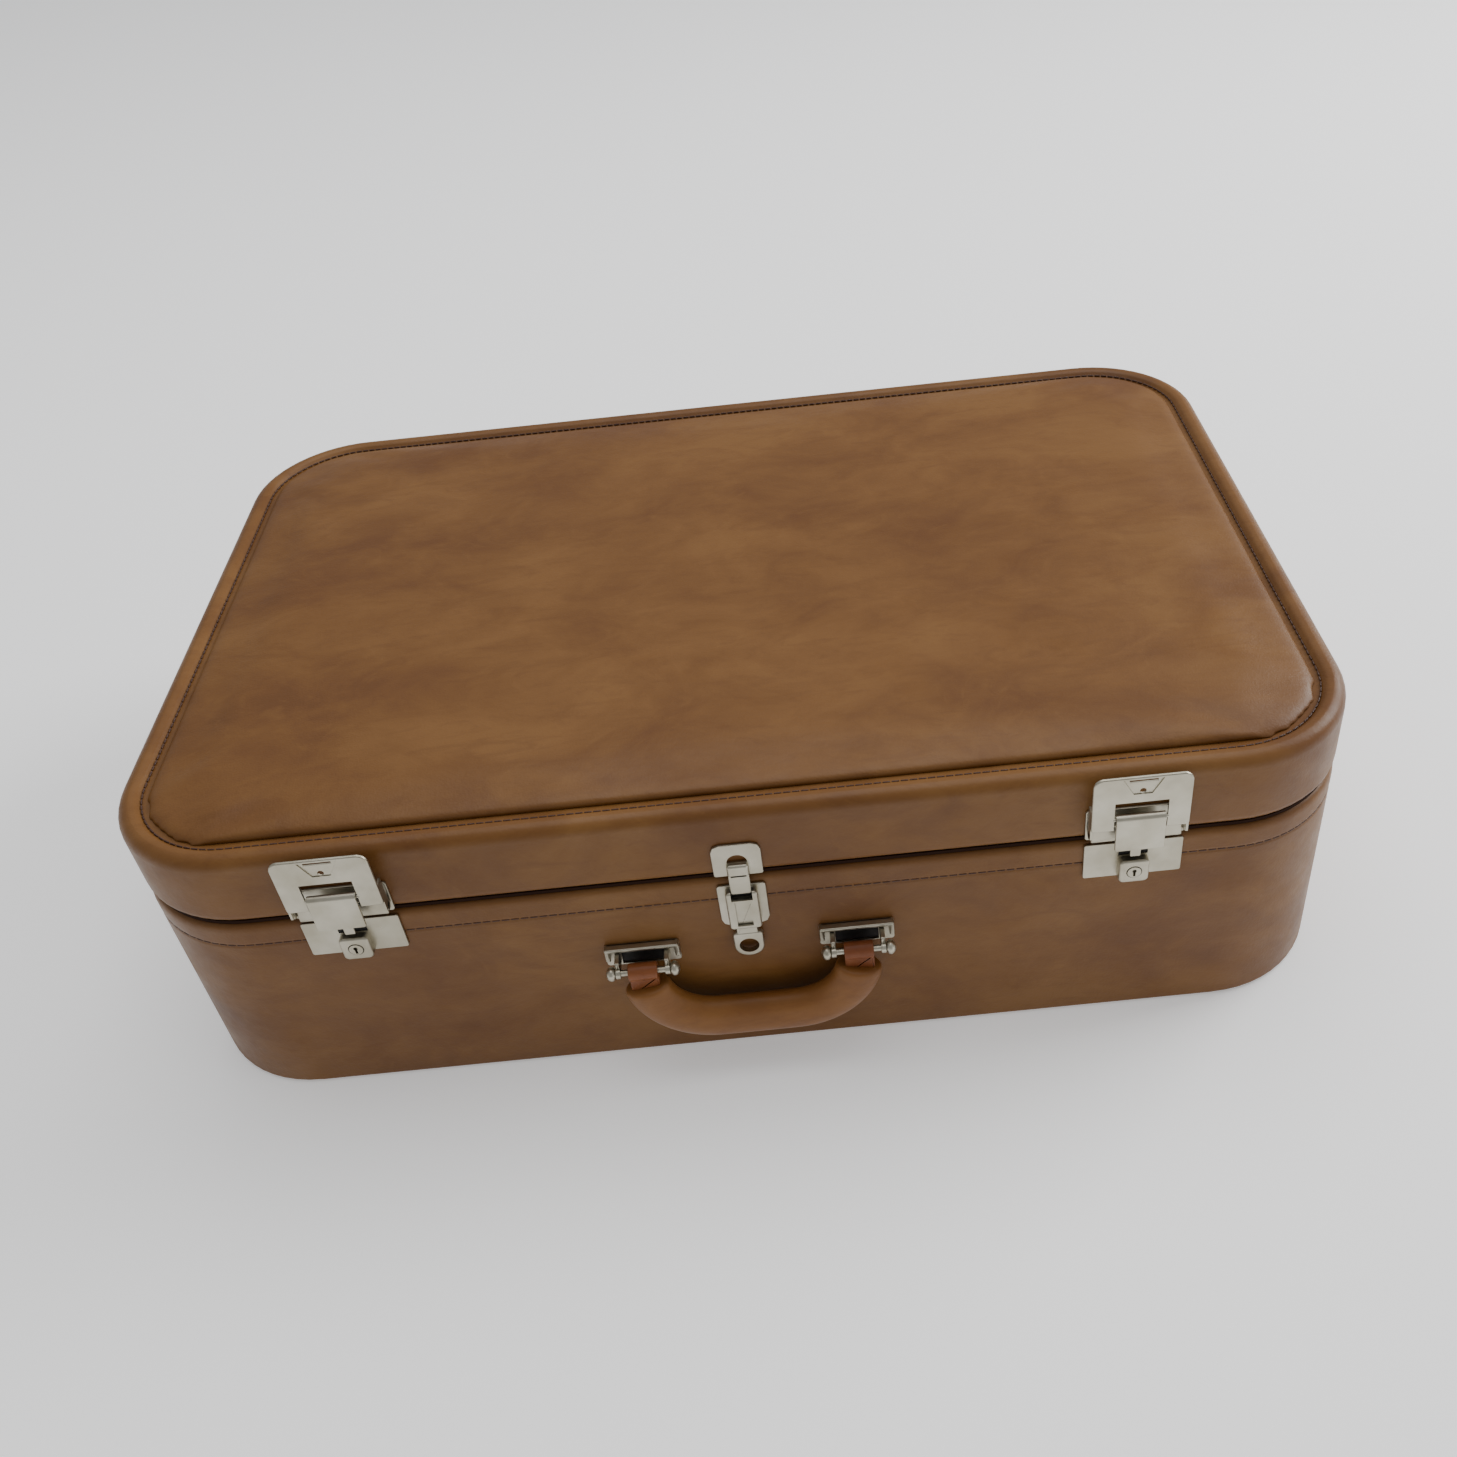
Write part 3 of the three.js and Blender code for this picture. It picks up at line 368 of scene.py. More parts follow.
# ---------- rows of stitches ----------
# Waxed dark brown thread. One row runs round the base below the opening, the other in the lid's groove.
thread = material("waxed_thread", (0.055, 0.018, 0.008), 0.55)
twist_and_shade = node(thread, "TexWave", {"Vector": object_coordinates(thread, (1, 1, 1), (0.6, 0.4, 0.7)),
                                 "Scale": 700})
# The colour follows the twist: darker in its grooves as painted shade, lighter on the strands.
finish_with(thread, Normal=bump(thread, twist_and_shade.outputs["Fac"], 0.0002, 0.6),
            Base_Color=ramp(thread, twist_and_shade.outputs["Fac"],
                            (0.2, (0.035, 0.011, 0.005)), (0.8, (0.085, 0.03, 0.014))))


def stitch_row(name, inset, height, body, pitch=4.6, length=3.3, thick=0.42):
    """One stitch, repeated along the case's outline at an inset."""
    path = rounded_sheet(name + "_path", inset * mm, height * mm)
    bpy.ops.mesh.delete(type="ONLY_FACE")
    bpy.ops.object.mode_set(mode="OBJECT")
    around = sum((path.data.vertices[a].co - path.data.vertices[b].co).length for a, b in
                 (e.vertices for e in path.data.edges))
    bpy.ops.object.convert(target="CURVE")
    count = int(around / (pitch * mm))
    bpy.ops.object.select_all(action="DESELECT")
    bpy.ops.mesh.primitive_cylinder_add(vertices=6, radius=thick * mm, depth=length * mm,
                                        rotation=(0, math.pi / 2, 0), end_fill_type="TRIFAN")
    stitch = bpy.context.object
    stitch.name = name
    bpy.ops.object.transform_apply(location=True, rotation=True, scale=True)
    edit()
    select_where(stitch, lambda p: abs(p.x) > 0.3 * length * mm and p.yz.length < 0.1 * thick * mm,
                 "vertices")
    bpy.ops.transform.resize(value=(1.18, 1, 1))
    apply(stitch, "ARRAY", count=count, use_relative_offset=False, use_constant_offset=True,
          constant_offset_displace=(around / count, 0, 0))
    apply(stitch, "CURVE", object=path, deform_axis="POS_X")
    bpy.data.objects.remove(path)
    smooth(stitch, 60)
    done(stitch, body, thread, "leatherette")


stitch_row("base_stitches", 0.55, stitch_height, "case_base")
stitch_row("lid_stitches", 11.9, rim_top / mm - 2.5, "lid", 4.2, 3.1, 0.45)

# ---------- vinyl cover of the lid ----------
# The same leatherette round the lid's wall, rolled over a cord at the rim, and down into the groove of the
# panel.
low, rim = lid_bottom / mm, rim_top / mm
roll_radius = 6.5
rolled = [(roll_radius - roll_radius * math.cos(t), rim - roll_radius + roll_radius * math.sin(t))
          for t in (math.radians(angle) for angle in range(12, 85, 12))]
lid_cover = band("lid_cover_skin", 145, [
    (0, rim - roll_radius), *rolled, (roll_radius, rim), (8.6, rim - 0.25), (10.2, rim - 1.3),
    (11.2, rim - 2.8), (12.6, rim - 3.4), (18, rim - 3.6)],
    [(0, low + 4.6), (0.3, low + 2.6), (1.1, low + 1.1), (2.4, low + 0.3), (4, low), (7.5, low)])
apply(lid_cover, "SOLIDIFY", thickness=1.1 * mm, offset=-1)
smooth(lid_cover, 60)
done(lid_cover, "lid", tan, "leatherette", "lid_cover")

# ---------- padded panel of the lid ----------
# A sheet of foam under leatherette, drawn down at its edges by the stitched groove and crowned in the
# middle.
panel_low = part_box("lid_top_panel")[0]
panel_inset = (panel_low.x - case_low.x) / mm
panel_inset -= 0.9
panel = rounded_sheet("padded_lid_panel", panel_inset * mm, panel_low.z)
carry(panel_inset * mm, panel_low.z, [
    (panel_inset, rim - 2.6), (panel_inset + 0.5, rim - 1.2), (panel_inset + 1.6, rim - 0.1),
    (panel_inset + 3.4, rim + 0.7), (panel_inset + 7, rim + 1.4), (panel_inset + 16, rim + 1.9),
    (panel_inset + 34, rim + 2.2)])
bpy.ops.mesh.select_all(action="DESELECT")
bpy.ops.mesh.select_mode(type="EDGE")
bpy.ops.mesh.select_non_manifold()
bpy.ops.mesh.edge_face_add()
bpy.ops.object.mode_set(mode="OBJECT")
apply(panel, "REMESH", mode="VOXEL", voxel_size=4.6 * mm)
start = [v.co.copy() for v in panel.data.vertices]
held = panel.vertex_groups.new(name="held")
held.add([i for i, p in enumerate(start) if p.z < rim_top - 2.2 * mm], 1.0, "REPLACE")
cloth = panel.modifiers.new("Cloth", "CLOTH")
cloth.settings.use_pressure = True
cloth.settings.uniform_pressure_force = 4
cloth.settings.effector_weights.gravity = 0
cloth.settings.vertex_group_mass = "held"
cloth.settings.quality = 5
for step in range(1, 21):
    bpy.context.scene.frame_set(step)
bpy.context.view_layer.objects.active = panel
bpy.ops.object.modifier_apply(modifier="Cloth")
bpy.context.scene.frame_set(1)
reach = 1.4 * mm
for vertex, before in zip(panel.data.vertices, start):
    moved = vertex.co - before
    if moved.length > reach:
        vertex.co = before + moved * (reach / moved.length)
apply(panel, "SMOOTH", factor=0.5, iterations=6)
apply(panel, "SUBSURF", levels=1, render_levels=1)
smooth(panel, 80)
done(panel, "lid", tan, "padded_leatherette", "lid_top_panel")

# ---------- latches: plates on the lid ----------
# Pressed steel, nickelled, and gone warm and slightly uneven with age. Each plate carries the barrel that
# its lever turns on, and is held by two rivets that the closed lever hides.
nickel = material("aged_nickel", (0.46, 0.44, 0.38), 0.34, 1.0)
spots = node(nickel, "TexNoise", {"Vector": object_coordinates(nickel), "Scale": 240, "Detail": 6,
                                  "Roughness": 0.7})
blotches = node(nickel, "TexNoise", {"Vector": object_coordinates(nickel), "Scale": 42, "Detail": 3})
finish_with(
    nickel,
    Base_Color=ramp(nickel, blotches.outputs["Fac"],
                    (0.32, (0.375, 0.345, 0.265)), (0.68, (0.51, 0.48, 0.395))),
    Roughness=node(nickel, "MapRange", {"Value": spots.outputs["Fac"], "From Min": 0.3, "From Max": 0.7,
                                        "To Min": 0.27, "To Max": 0.46}).outputs["Result"],
    Normal=bump(nickel, spots.outputs["Fac"], 0.00006, 0.4))
latch_places = (("left", -187), ("right", 187))


def block(name, x, z, wide, tall, near, far):
    """A block on the front: its middle and size, and how far its back and its face stand out."""
    bpy.ops.object.select_all(action="DESELECT")
    bpy.ops.mesh.primitive_cube_add(size=1, location=(x * mm, front_face - (near + far) / 2 * mm, z * mm))
    made = bpy.context.object
    made.name = name
    made.scale = (wide * mm, (far - near) * mm, tall * mm)
    bpy.ops.object.transform_apply(location=True, rotation=True, scale=True)
    return made


def round_corners(piece, radius, test=lambda c: True, segments=5):
    """Rounds the outline of a block as seen from the front, where a test on its corner edges passes."""
    low, high = Vector(piece.bound_box[0]), Vector(piece.bound_box[6])
    edit()
    select_where(piece, lambda c: min(abs(c.x - low.x), abs(c.x - high.x)) < 1e-6
                 and min(abs(c.z - low.z), abs(c.z - high.z)) < 1e-6 and test(c), "edges")
    bpy.ops.mesh.bevel(offset=radius * mm, segments=segments, affect="EDGES")
    bpy.ops.object.mode_set(mode="OBJECT")


def ease_face(piece, radius, segments=3):
    """Rounds the rim of a block's front face."""
    front = piece.bound_box[0][1]
    edit()
    select_where(piece, lambda c: abs(c.y - front) < 1e-6)
    bpy.ops.mesh.region_to_loop()
    bpy.ops.mesh.bevel(offset=radius * mm, segments=segments, affect="EDGES")
    bpy.ops.object.mode_set(mode="OBJECT")


def slab(name, x, z, wide, tall, near, far, outline_radius, face_radius):
    """A block with a rounded outline and a rounded front rim."""
    made = block(name, x, z, wide, tall, near, far)
    round_corners(made, outline_radius)
    ease_face(made, face_radius)
    return made


def rod(name, axis, place, radius, length, sides=28, ease=0.3):
    """A cylinder along an axis, with its two end rims rounded."""
    bpy.ops.object.select_all(action="DESELECT")
    turn = {"x": (0, math.pi / 2, 0), "y": (math.pi / 2, 0, 0), "z": (0, 0, 0)}[axis]
    bpy.ops.mesh.primitive_cylinder_add(vertices=sides, radius=radius * mm, depth=length * mm,
                                        location=[p * mm for p in place], rotation=turn)
    made = bpy.context.object
    made.name = name
    bpy.ops.object.transform_apply(location=True, rotation=True, scale=True)
    if ease:
        edit("FACE")
        bpy.ops.mesh.select_all(action="DESELECT")
        bpy.ops.mesh.select_face_by_sides(number=4, type="GREATER", extend=False)
        bpy.ops.mesh.region_to_loop()
        bpy.ops.mesh.bevel(offset=ease * mm, segments=2, affect="EDGES")
        bpy.ops.object.mode_set(mode="OBJECT")
    return made


def cut(piece, *tools):
    for tool in tools:
        apply(piece, "BOOLEAN", object=tool, operation="DIFFERENCE", solver="MANIFOLD")
        bpy.data.objects.remove(tool)


def joined(piece, *others):
    bpy.ops.object.select_all(action="DESELECT")
    for other in (*others, piece):
        other.select_set(True)
    bpy.context.view_layer.objects.active = piece
    bpy.ops.object.join()


out = front_face / mm
for name, x in latch_places:
    plate = slab("lid_plate_" + name, x, 134.25, 47, 18.5, 0.3, 1.5, 1.4, 0.35)
    hinge_block = slab("hinge_block", x, 130, 42.6, 9.4, 0.4, 4.4, 0.8, 0.9)
    rivets = [rod("rivet", "y", (x + at, out - 1.7, 140.2), 1.7, 1, 20) for at in (-18, 18)]
    joined(plate, hinge_block, *rivets)
    smooth(plate, 35)
    done(plate, "lid", nickel, "nickel", "latch_plate_" + name)

# ---------- latches: levers ----------
# A pressed plate with soft bright corners and a folded strap down each side. It has a window for the hook,
# and a finger recess at the top with a slit along its upper edge and a small hole at its foot.
hook_pin = (out - 8.6, 143.5)
for name, x in latch_places:
    lever = block("lever_" + name, x, 152.9, 45.5, 32.4, 7.9, 9.2)
    round_corners(lever, 5, lambda c: c.z > 0.15, 8)
    round_corners(lever, 1.6, lambda c: c.z < 0.15, 4)
    ease_face(lever, 0.8, 4)
    recess = block("recess", x, 163.4, 18.5, 9, 8.7, 11)
    edit()
    select_where(recess, lambda p: p.z < 0.1634, "vertices")
    bpy.ops.transform.resize(value=(0.46, 1, 1), center_override=(x * mm, 0, 0.159))
    bpy.ops.object.mode_set(mode="OBJECT")
    cut(lever, block("window", x, 142, 24.6, 24, -1, 12), recess, block("slit", x, 166.6, 13, 1.5, 5, 12),
        rod("hole", "y", (x, out - 8, 160.6), 1.5, 8, 16, 0))
    ears = [rod("ear", "x", (x + at, out - 4.2, 131.5), 2.4, 1.3) for at in (-22.1, 22.1)]
    pin = rod("pin", "x", (x, *hook_pin), 0.85, 26, 16)
    straps = [block("strap", x + at, 140, 1.1, 17, 3, 8) for at in (-22.2, 22.2)]
    joined(lever, *ears, pin, *straps)
    smooth(lever, 32)
    done(lever, "lever_" + name, nickel, "nickel", "latch_lever_" + name)

# ---------- latches: hooks ----------
# A flat tongue rolled round the lever's pin. It lies over the parting line, and its narrow nose is set back
# and reaches down into the mouth of the lock plate.
for name, x in latch_places:
    hook = slab("hook_" + name, x, 134.2, 23, 18.8, 9.6, 10.9, 1.3, 0.5)
    roll = rod("roll", "x", (x, *hook_pin), 2.3, 23)
    cut(roll, rod("bore", "x", (x, *hook_pin), 1.25, 30, 16, 0))
    nose = slab("nose", x, 120, 5, 9.6, 4.4, 5.4, 0.6, 0.3)
    joined(hook, nose, slab("shelf", x, 125.4, 9, 1.2, 4.6, 10.2, 0.3, 0.2), roll)
    smooth(hook, 35)
    done(hook, "hook_" + name, nickel, "nickel", "latch_hook_" + name)

# ---------- latches: lock plates ----------
# The lower plate has crisp corners and a raised, rounded lock housing, which holds a cylinder with an
# upright keyhole. Above the housing is the mouth that the hook's nose drops into; a black sheet in it
# is painted shade.
# A near-black, faintly mottled finish for painted shade: thin sheets of it sit in the mouths and windows of
# the fittings where shade falls.
shade_black = material("painted_shade_black", (0.012, 0.011, 0.010), 0.6, 0.4)
shade_mottle = node(shade_black, "TexNoise", {"Vector": object_coordinates(shade_black), "Scale": 300, "Detail": 4})
finish_with(shade_black, Base_Color=ramp(shade_black, shade_mottle.outputs["Fac"],
                                  (0.3, (0.006, 0.005, 0.005)), (0.8, (0.026, 0.022, 0.018))))
mouth_height, lock_height = 115.8, 105.35
for name, x in latch_places:
    plate = slab("base_plate_" + name, x, 110.2, 47, 22, 0.3, 1.5, 1.2, 0.35)
    cut(plate, block("mouth", x, mouth_height, 14, 6, 0.7, 3))
    housing = slab("housing", x, lock_height, 14.5, 14.3, 0.4, 6.2, 2.6, 1.3)
    cut(housing, rod("bore", "y", (x, out - 5, lock_height), 3.8, 6.4, 28, 0))
    joined(plate, housing)
    smooth(plate, 35)
    done(plate, "case_base", nickel, "nickel", "lock_plate_" + name)
    # A black sheet in the mouth above the housing: painted shade.
    mouth_shade = block("keep_" + name, x, mouth_height, 13.8, 5.8, 0.72, 0.95)
    done(mouth_shade, "case_base", shade_black, "steel")
    barrel = rod("cylinder_" + name, "y", (x, out - 4.3, lock_height), 3.45, 4.6, 32, 0.35)
    cut(barrel, rod("eye", "y", (x, out - 6, 106.3), 1.05, 4, 20, 0),
        block("key", x, 104.6, 1.2, 3.4, 4, 8))
    smooth(barrel, 35)
    done(barrel, "lock_" + name, nickel, "nickel", "lock_cylinder_" + name)

# ---------- centre catch ----------
# The keeper on the lid has clipped corners, a D-shaped window and a bulging tongue that crosses the parting
# line into the mouth of the lower plate.
keeper = block("keeper", 0, 135, 23.5, 20, 0.3, 1.5)
round_corners(keeper, 4.2, lambda c: c.z > 0.135, 2)
round_corners(keeper, 1, lambda c: c.z < 0.135, 2)
ease_face(keeper, 0.35)
window = rod("window", "y", (0, out - 1, 133.6), 4.9, 6, 28, 0)
edit()
bpy.ops.mesh.select_all(action="SELECT")
bpy.ops.mesh.bisect(plane_co=(0, 0, 0.1336), plane_no=(0, 0, 1), use_fill=True, clear_inner=True)
bpy.ops.object.mode_set(mode="OBJECT")
cut(keeper, window)
joined(keeper, slab("swell", 0, 129.2, 10.6, 8.4, 0.4, 4.2, 1.6, 1.5),
       slab("tongue", 0, 121.4, 10, 12.8, 3, 4.2, 1.4, 0.4))
smooth(keeper, 35)
done(keeper, "lid", nickel, "nickel", "catch_keeper")

# The lower plate tapers at its foot. Two raised rails stand either side of the sliding strip.
rails = block("catch_plate_pressed", 0, 104.75, 23.5, 27.5, 0.3, 1.5)
round_corners(rails, 4.4, lambda c: c.z < 0.1, 2)
round_corners(rails, 1.6, lambda c: c.z > 0.1, 3)
ease_face(rails, 0.35)
housing = slab("rails", 0, 105, 15.6, 25, 0.4, 6.4, 1.8, 1.2)
cut(housing, block("cavity", 0, 105, 11.2, 40, 1.4, 5.3), block("channel", 0, 103.4, 7.6, 17, 4, 8),
    block("mouth", 0, 117, 10.3, 9, 3, 8))
joined(rails, housing)
smooth(rails, 35)
done(rails, "case_base", nickel, "nickel", "catch_plate")
# A black sheet in the mouth of the catch plate: painted shade.
done(block("catch_mouth_shade", 0, 113.6, 10.8, 5.2, 1.5, 1.75), "case_base", shade_black, "steel")

# The strip ends below in a round pull ring.
strip = slab("pull_strip", 0, 99.4, 10.2, 23.6, 1.9, 4.9, 0.5, 0.6)
ring = block("ring", 0, 79.8, 14.8, 16.4, 1.9, 4.9)
round_corners(ring, 7, lambda c: c.z < 0.08, 12)
round_corners(ring, 2.4, lambda c: c.z > 0.08, 4)
ease_face(ring, 1)
cut(ring, rod("eye", "y", (0, out - 3, 79.3), 4.9, 8, 32, 0))
joined(strip, ring)
smooth(strip, 45)
done(strip, "catch", nickel, "nickel", "catch_slide")

# ---------- handle: brackets and pins ----------
# Each bracket is folded from one plate: a bright bar along the top with a small ear at each end, a window
# below it, darkened by a black sheet in it as painted shade, and two arms that stand out to the
# ball-ended pin.
handle_places = (("left", -53), ("right", 53))
handle_pin = (out - 11, 75)
for name, x in handle_places:
    bracket = slab("bracket_" + name, x, 77.5, 37, 14, 0.3, 1.5, 1.6, 0.35)
    cut(bracket, block("window", x, 76.7, 21.4, 10.6, -1, 4))
    arms = []
    for at in (-12.2, 12.2):
        arms.append(slab("arm", x + at, 77.8, 2.4, 7.6, 0.5, 11, 0.5, 0.8))
        arms.append(rod("knuckle", "x", (x + at, *handle_pin), 2.7, 2.4))
    for at in (-17.2, 17.2):
        arms.append(slab("ear", x + at, 79.6, 2.5, 8.4, 0.5, 4, 0.8, 0.8))
    joined(bracket, slab("bar", x, 83.4, 36.6, 2.2, 0.5, 4.6, 0.7, 0.8), *arms)
    smooth(bracket, 35)
    done(bracket, "case_base", nickel, "nickel", "handle_bracket_" + name)
    # A black sheet in the bracket's window: painted shade.
    done(block("bracket_window_shade_" + name, x, 77, 21.2, 10.4, 0.35, 0.6), "case_base", shade_black, "steel")
    pin = rod("pin_" + name, "x", (x, *handle_pin), 1.6, 31, 20)
    balls = []
    for at in (-15.6, 15.6):
        bpy.ops.mesh.primitive_uv_sphere_add(
            segments=24, ring_count=14, radius=3.6 * mm,
            location=((x + at) * mm, front_face - 11 * mm, 75 * mm), scale=(0.75, 1, 1))
        balls.append(bpy.context.object)
        bpy.ops.object.transform_apply(location=True, rotation=True, scale=True)
    joined(pin, *balls)
    smooth(pin, 45)
    done(pin, "case_base", nickel, "nickel", "handle_pin_" + name)

# ---------- handle: tabs and grip ----------
# A leather tab loops round each pin and runs into the end of the grip. The grip is a filled core wrapped in
# leather, worn a little lighter than the case.
red_leather = leatherette("tab_leather", (0.23, 0.075, 0.022), (0.18, 0.052, 0.014), (0.125, 0.033, 0.009),
                          0.8)
for name, x in handle_places:
    tab = slab("tab_" + name, x, 66.7, 14.5, 12.4, 8.5, 13.5, 0.5, 1)
    loop = rod("loop", "x", (x, *handle_pin), 4.4, 14.5, 28, 0.7)
    cut(loop, rod("bore", "x", (x, *handle_pin), 1.9, 30, 20, 0))
    joined(tab, loop)
    smooth(tab, 40)
    done(tab, "handle", red_leather, "grip_leather", "handle_tab_" + name)

worn = leatherette("worn_grip_leather", (0.230, 0.098, 0.023), (0.190, 0.074, 0.015), (0.140, 0.050, 0.010),
                   1.3)
bend, half_span, bar_height = 34, 53, 36
bpy.ops.object.select_all(action="DESELECT")
bpy.ops.mesh.primitive_circle_add(vertices=32, radius=1, fill_type="NGON", rotation=(0, math.pi / 2, 0))
grip = bpy.context.object
grip.name = "grip"
grip.scale = (11.8 * mm, 8.4 * mm, 1)
bpy.ops.object.transform_apply(location=True, rotation=True, scale=True)
grip.location = (0, front_face - 11 * mm, bar_height * mm)
bpy.ops.object.transform_apply(location=True, rotation=True, scale=True)
edit("FACE")
bpy.ops.mesh.select_all(action="SELECT")
bpy.ops.mesh.extrude_region_move(TRANSFORM_OT_translate={"value": ((half_span - bend) * mm, 0, 0)})
bpy.ops.mesh.spin(steps=14, angle=math.radians(80), axis=(0, 1, 0),
                  center=((half_span - bend) * mm, 0, (bar_height + bend) * mm))
bpy.ops.mesh.inset(thickness=1.2 * mm, depth=1.0 * mm)
bpy.ops.mesh.inset(thickness=1.4 * mm, depth=0.4 * mm)
select_where(grip, lambda c: abs(c.x) < 1e-6)
bpy.ops.mesh.delete(type="FACE")
apply(grip, "MIRROR", use_axis=(True, False, False), merge_threshold=1e-5)
edit()
bpy.ops.mesh.select_all(action="SELECT")
bpy.ops.mesh.normals_make_consistent(inside=False)
apply(grip, "SUBSURF", levels=1, render_levels=1)
smooth(grip, 60)
done(grip, "handle", worn, "grip_leather", "handle_grip")

# ---------- hinges at the back ----------
# Two steel butt hinges, riveted through the leatherette, each with a stop lug on the lid's leaf.
steel = material("dull_steel", (0.34, 0.34, 0.34), 0.42, 1.0)
mill = node(steel, "TexNoise", {"Vector": object_coordinates(steel, (1, 6, 6)), "Scale": 90, "Detail": 5})
finish_with(steel, Base_Color=ramp(steel, mill.outputs["Fac"],
                                   (0.3, (0.27, 0.27, 0.265)), (0.7, (0.40, 0.40, 0.40))),
            Normal=bump(steel, mill.outputs["Fac"], 0.00006, 0.4))


def eased(name, finish, slot, width):
    """A copy of a CAD node with its hard edges rounded over, in place of the node."""
    source = frame["nodes"][name]
    bpy.ops.object.select_all(action="DESELECT")
    source.select_set(True)
    bpy.context.view_layer.objects.active = source
    bpy.ops.object.duplicate()
    made = bpy.context.object
    bpy.ops.object.parent_clear(type="CLEAR_KEEP_TRANSFORM")
    for key in list(made.keys()):
        del made[key]
    made.name = name + "_eased"
    edit()
    bpy.ops.mesh.select_all(action="SELECT")
    bpy.ops.mesh.customdata_custom_splitnormals_clear()
    bpy.ops.mesh.remove_doubles(threshold=2e-6)
    bpy.ops.mesh.dissolve_limited(angle_limit=math.radians(0.6))
    apply(made, "BEVEL", width=width * mm, segments=2, limit_method="ANGLE", angle_limit=math.radians(40))
    smooth(made, 36)
    return done(made, body_of(source)[0], finish, slot, name)


for name, x in (("left", -190), ("right", 190)):
    eased("hinge_pin_" + name, steel, "steel", 0.2)
    for leaf, body, height in (("base", "case_base", 109.5), ("lid", "lid", 137.5)):
        plate = eased(f"hinge_{leaf}_leaf_{name}", steel, "steel", 0.3)
        rivets = [rod("rivet", "y", (x + at, -out + 1.6, height), 2.2, 1.2, 20, 0.45)
                  for at in (-19, 0, 19)]
        joined(plate, *rivets)

# ---------- dust lip and lining ----------
# A thin black strip stands up inside the opening and centres the lid. The lid is lined with a beige cloth
# that is pasted down, so it has a weave but no folds.
black_vinyl = material("black_lip_vinyl", (0.018, 0.017, 0.016), 0.5)
pores = node(black_vinyl, "TexVoronoi", {"Vector": object_coordinates(black_vinyl), "Scale": 900},
             feature="SMOOTH_F1")
finish_with(black_vinyl, Normal=bump(black_vinyl, pores.outputs["Distance"], 0.0001, 0.5))
eased("dust_lip", black_vinyl, "deck_paint", 0.5)
cloth_finish = material("pasted_lining", (0.42, 0.34, 0.22), 0.95)
warp_threads, weft_threads = [
    node(cloth_finish, "TexWave", {"Vector": object_coordinates(cloth_finish), "Scale": 330,
                                   "Distortion": 1.2}, bands_direction=direction).outputs["Fac"]
    for direction in "XY"]
weave = node(cloth_finish, "Math", {0: warp_threads, 1: weft_threads}, operation="MAXIMUM")
faded = node(cloth_finish, "TexNoise", {"Vector": object_coordinates(cloth_finish), "Scale": 6,
                                        "Detail": 4})
finish_with(cloth_finish, Normal=bump(cloth_finish, weave.outputs["Value"], 0.0002, 0.6),
            Base_Color=ramp(cloth_finish, faded.outputs["Fac"],
                            (0.3, (0.36, 0.28, 0.175)), (0.7, (0.46, 0.38, 0.26))))
eased("lid_lining", cloth_finish, "lining", 0.6)

# ---------- deck plate ----------
# A board painted in dark hammered enamel, cut out for the platter's drive, the speaker and the controls.
# A fine bright line is inlaid a little way in from its edge.
enamel = material("hammered_enamel", (0.030, 0.029, 0.027), 0.38, Coat_Weight=0.25, Coat_Roughness=0.25)
dimples = node(enamel, "TexVoronoi", {"Vector": object_coordinates(enamel), "Scale": 260,
                                      "Randomness": 1.0}, feature="SMOOTH_F1")
flecks = node(enamel, "TexNoise", {"Vector": object_coordinates(enamel), "Scale": 120, "Detail": 4})
finish_with(enamel, Normal=bump(enamel, dimples.outputs["Distance"], 0.0004, 0.5),
            Base_Color=ramp(enamel, flecks.outputs["Fac"],
                            (0.35, (0.022, 0.021, 0.020)), (0.7, (0.050, 0.048, 0.044))))
eased("deck_plate", enamel, "deck_paint", 0.8)
silver = material("spun_aluminium", (0.60, 0.60, 0.60), 0.3, 1.0)
grain = node(silver, "TexNoise", {"Vector": object_coordinates(silver, (1, 30, 1)), "Scale": 40,
                                  "Detail": 6})
finish_with(silver, Normal=bump(silver, grain.outputs["Fac"], 0.00004, 0.3),
            Roughness=node(silver, "MapRange", {"Value": grain.outputs["Fac"], "From Min": 0.3,
                                                "From Max": 0.7, "To Min": 0.24, "To Max": 0.4}
                           ).outputs["Result"])
line = rounded_sheet("inlaid_line", 14 * mm, 90.02 * mm)
bpy.ops.mesh.inset(thickness=0.9 * mm)
bpy.ops.mesh.delete(type="FACE")
apply(line, "SOLIDIFY", thickness=0.2 * mm, offset=1)
done(line, "case_base", silver, "aluminium")

# ---------- speaker, grille, amplifier and inlet ----------
# A slotted metal grille over the speaker, with the amplifier board hung under the knobs.
# The inlet is a plain two-pin socket.
black_plastic = material("black_plastic", (0.016, 0.015, 0.014), 0.36)
moulding = node(black_plastic, "TexNoise", {"Vector": object_coordinates(black_plastic), "Scale": 500,
                                            "Detail": 3})
finish_with(black_plastic, Normal=bump(black_plastic, moulding.outputs["Fac"], 0.00005, 0.4),
            Roughness=node(black_plastic, "MapRange", {"Value": moulding.outputs["Fac"], "To Min": 0.3,
                                                       "To Max": 0.46}).outputs["Result"])
eased("speaker_grille", silver, "aluminium", 0.5)
eased("speaker", black_plastic, "black_plastic", 0.4)
eased("amplifier", black_plastic, "black_plastic", 0.4)
eased("mains_inlet", black_plastic, "black_plastic", 0.7)
for at in (-5, 5):
    pin = rod("inlet_pin", "z", (-225 + at, 166, 82), 1.4, 11, 16, 0.5)
    smooth(pin, 35)
    done(pin, "case_base", steel, "steel")

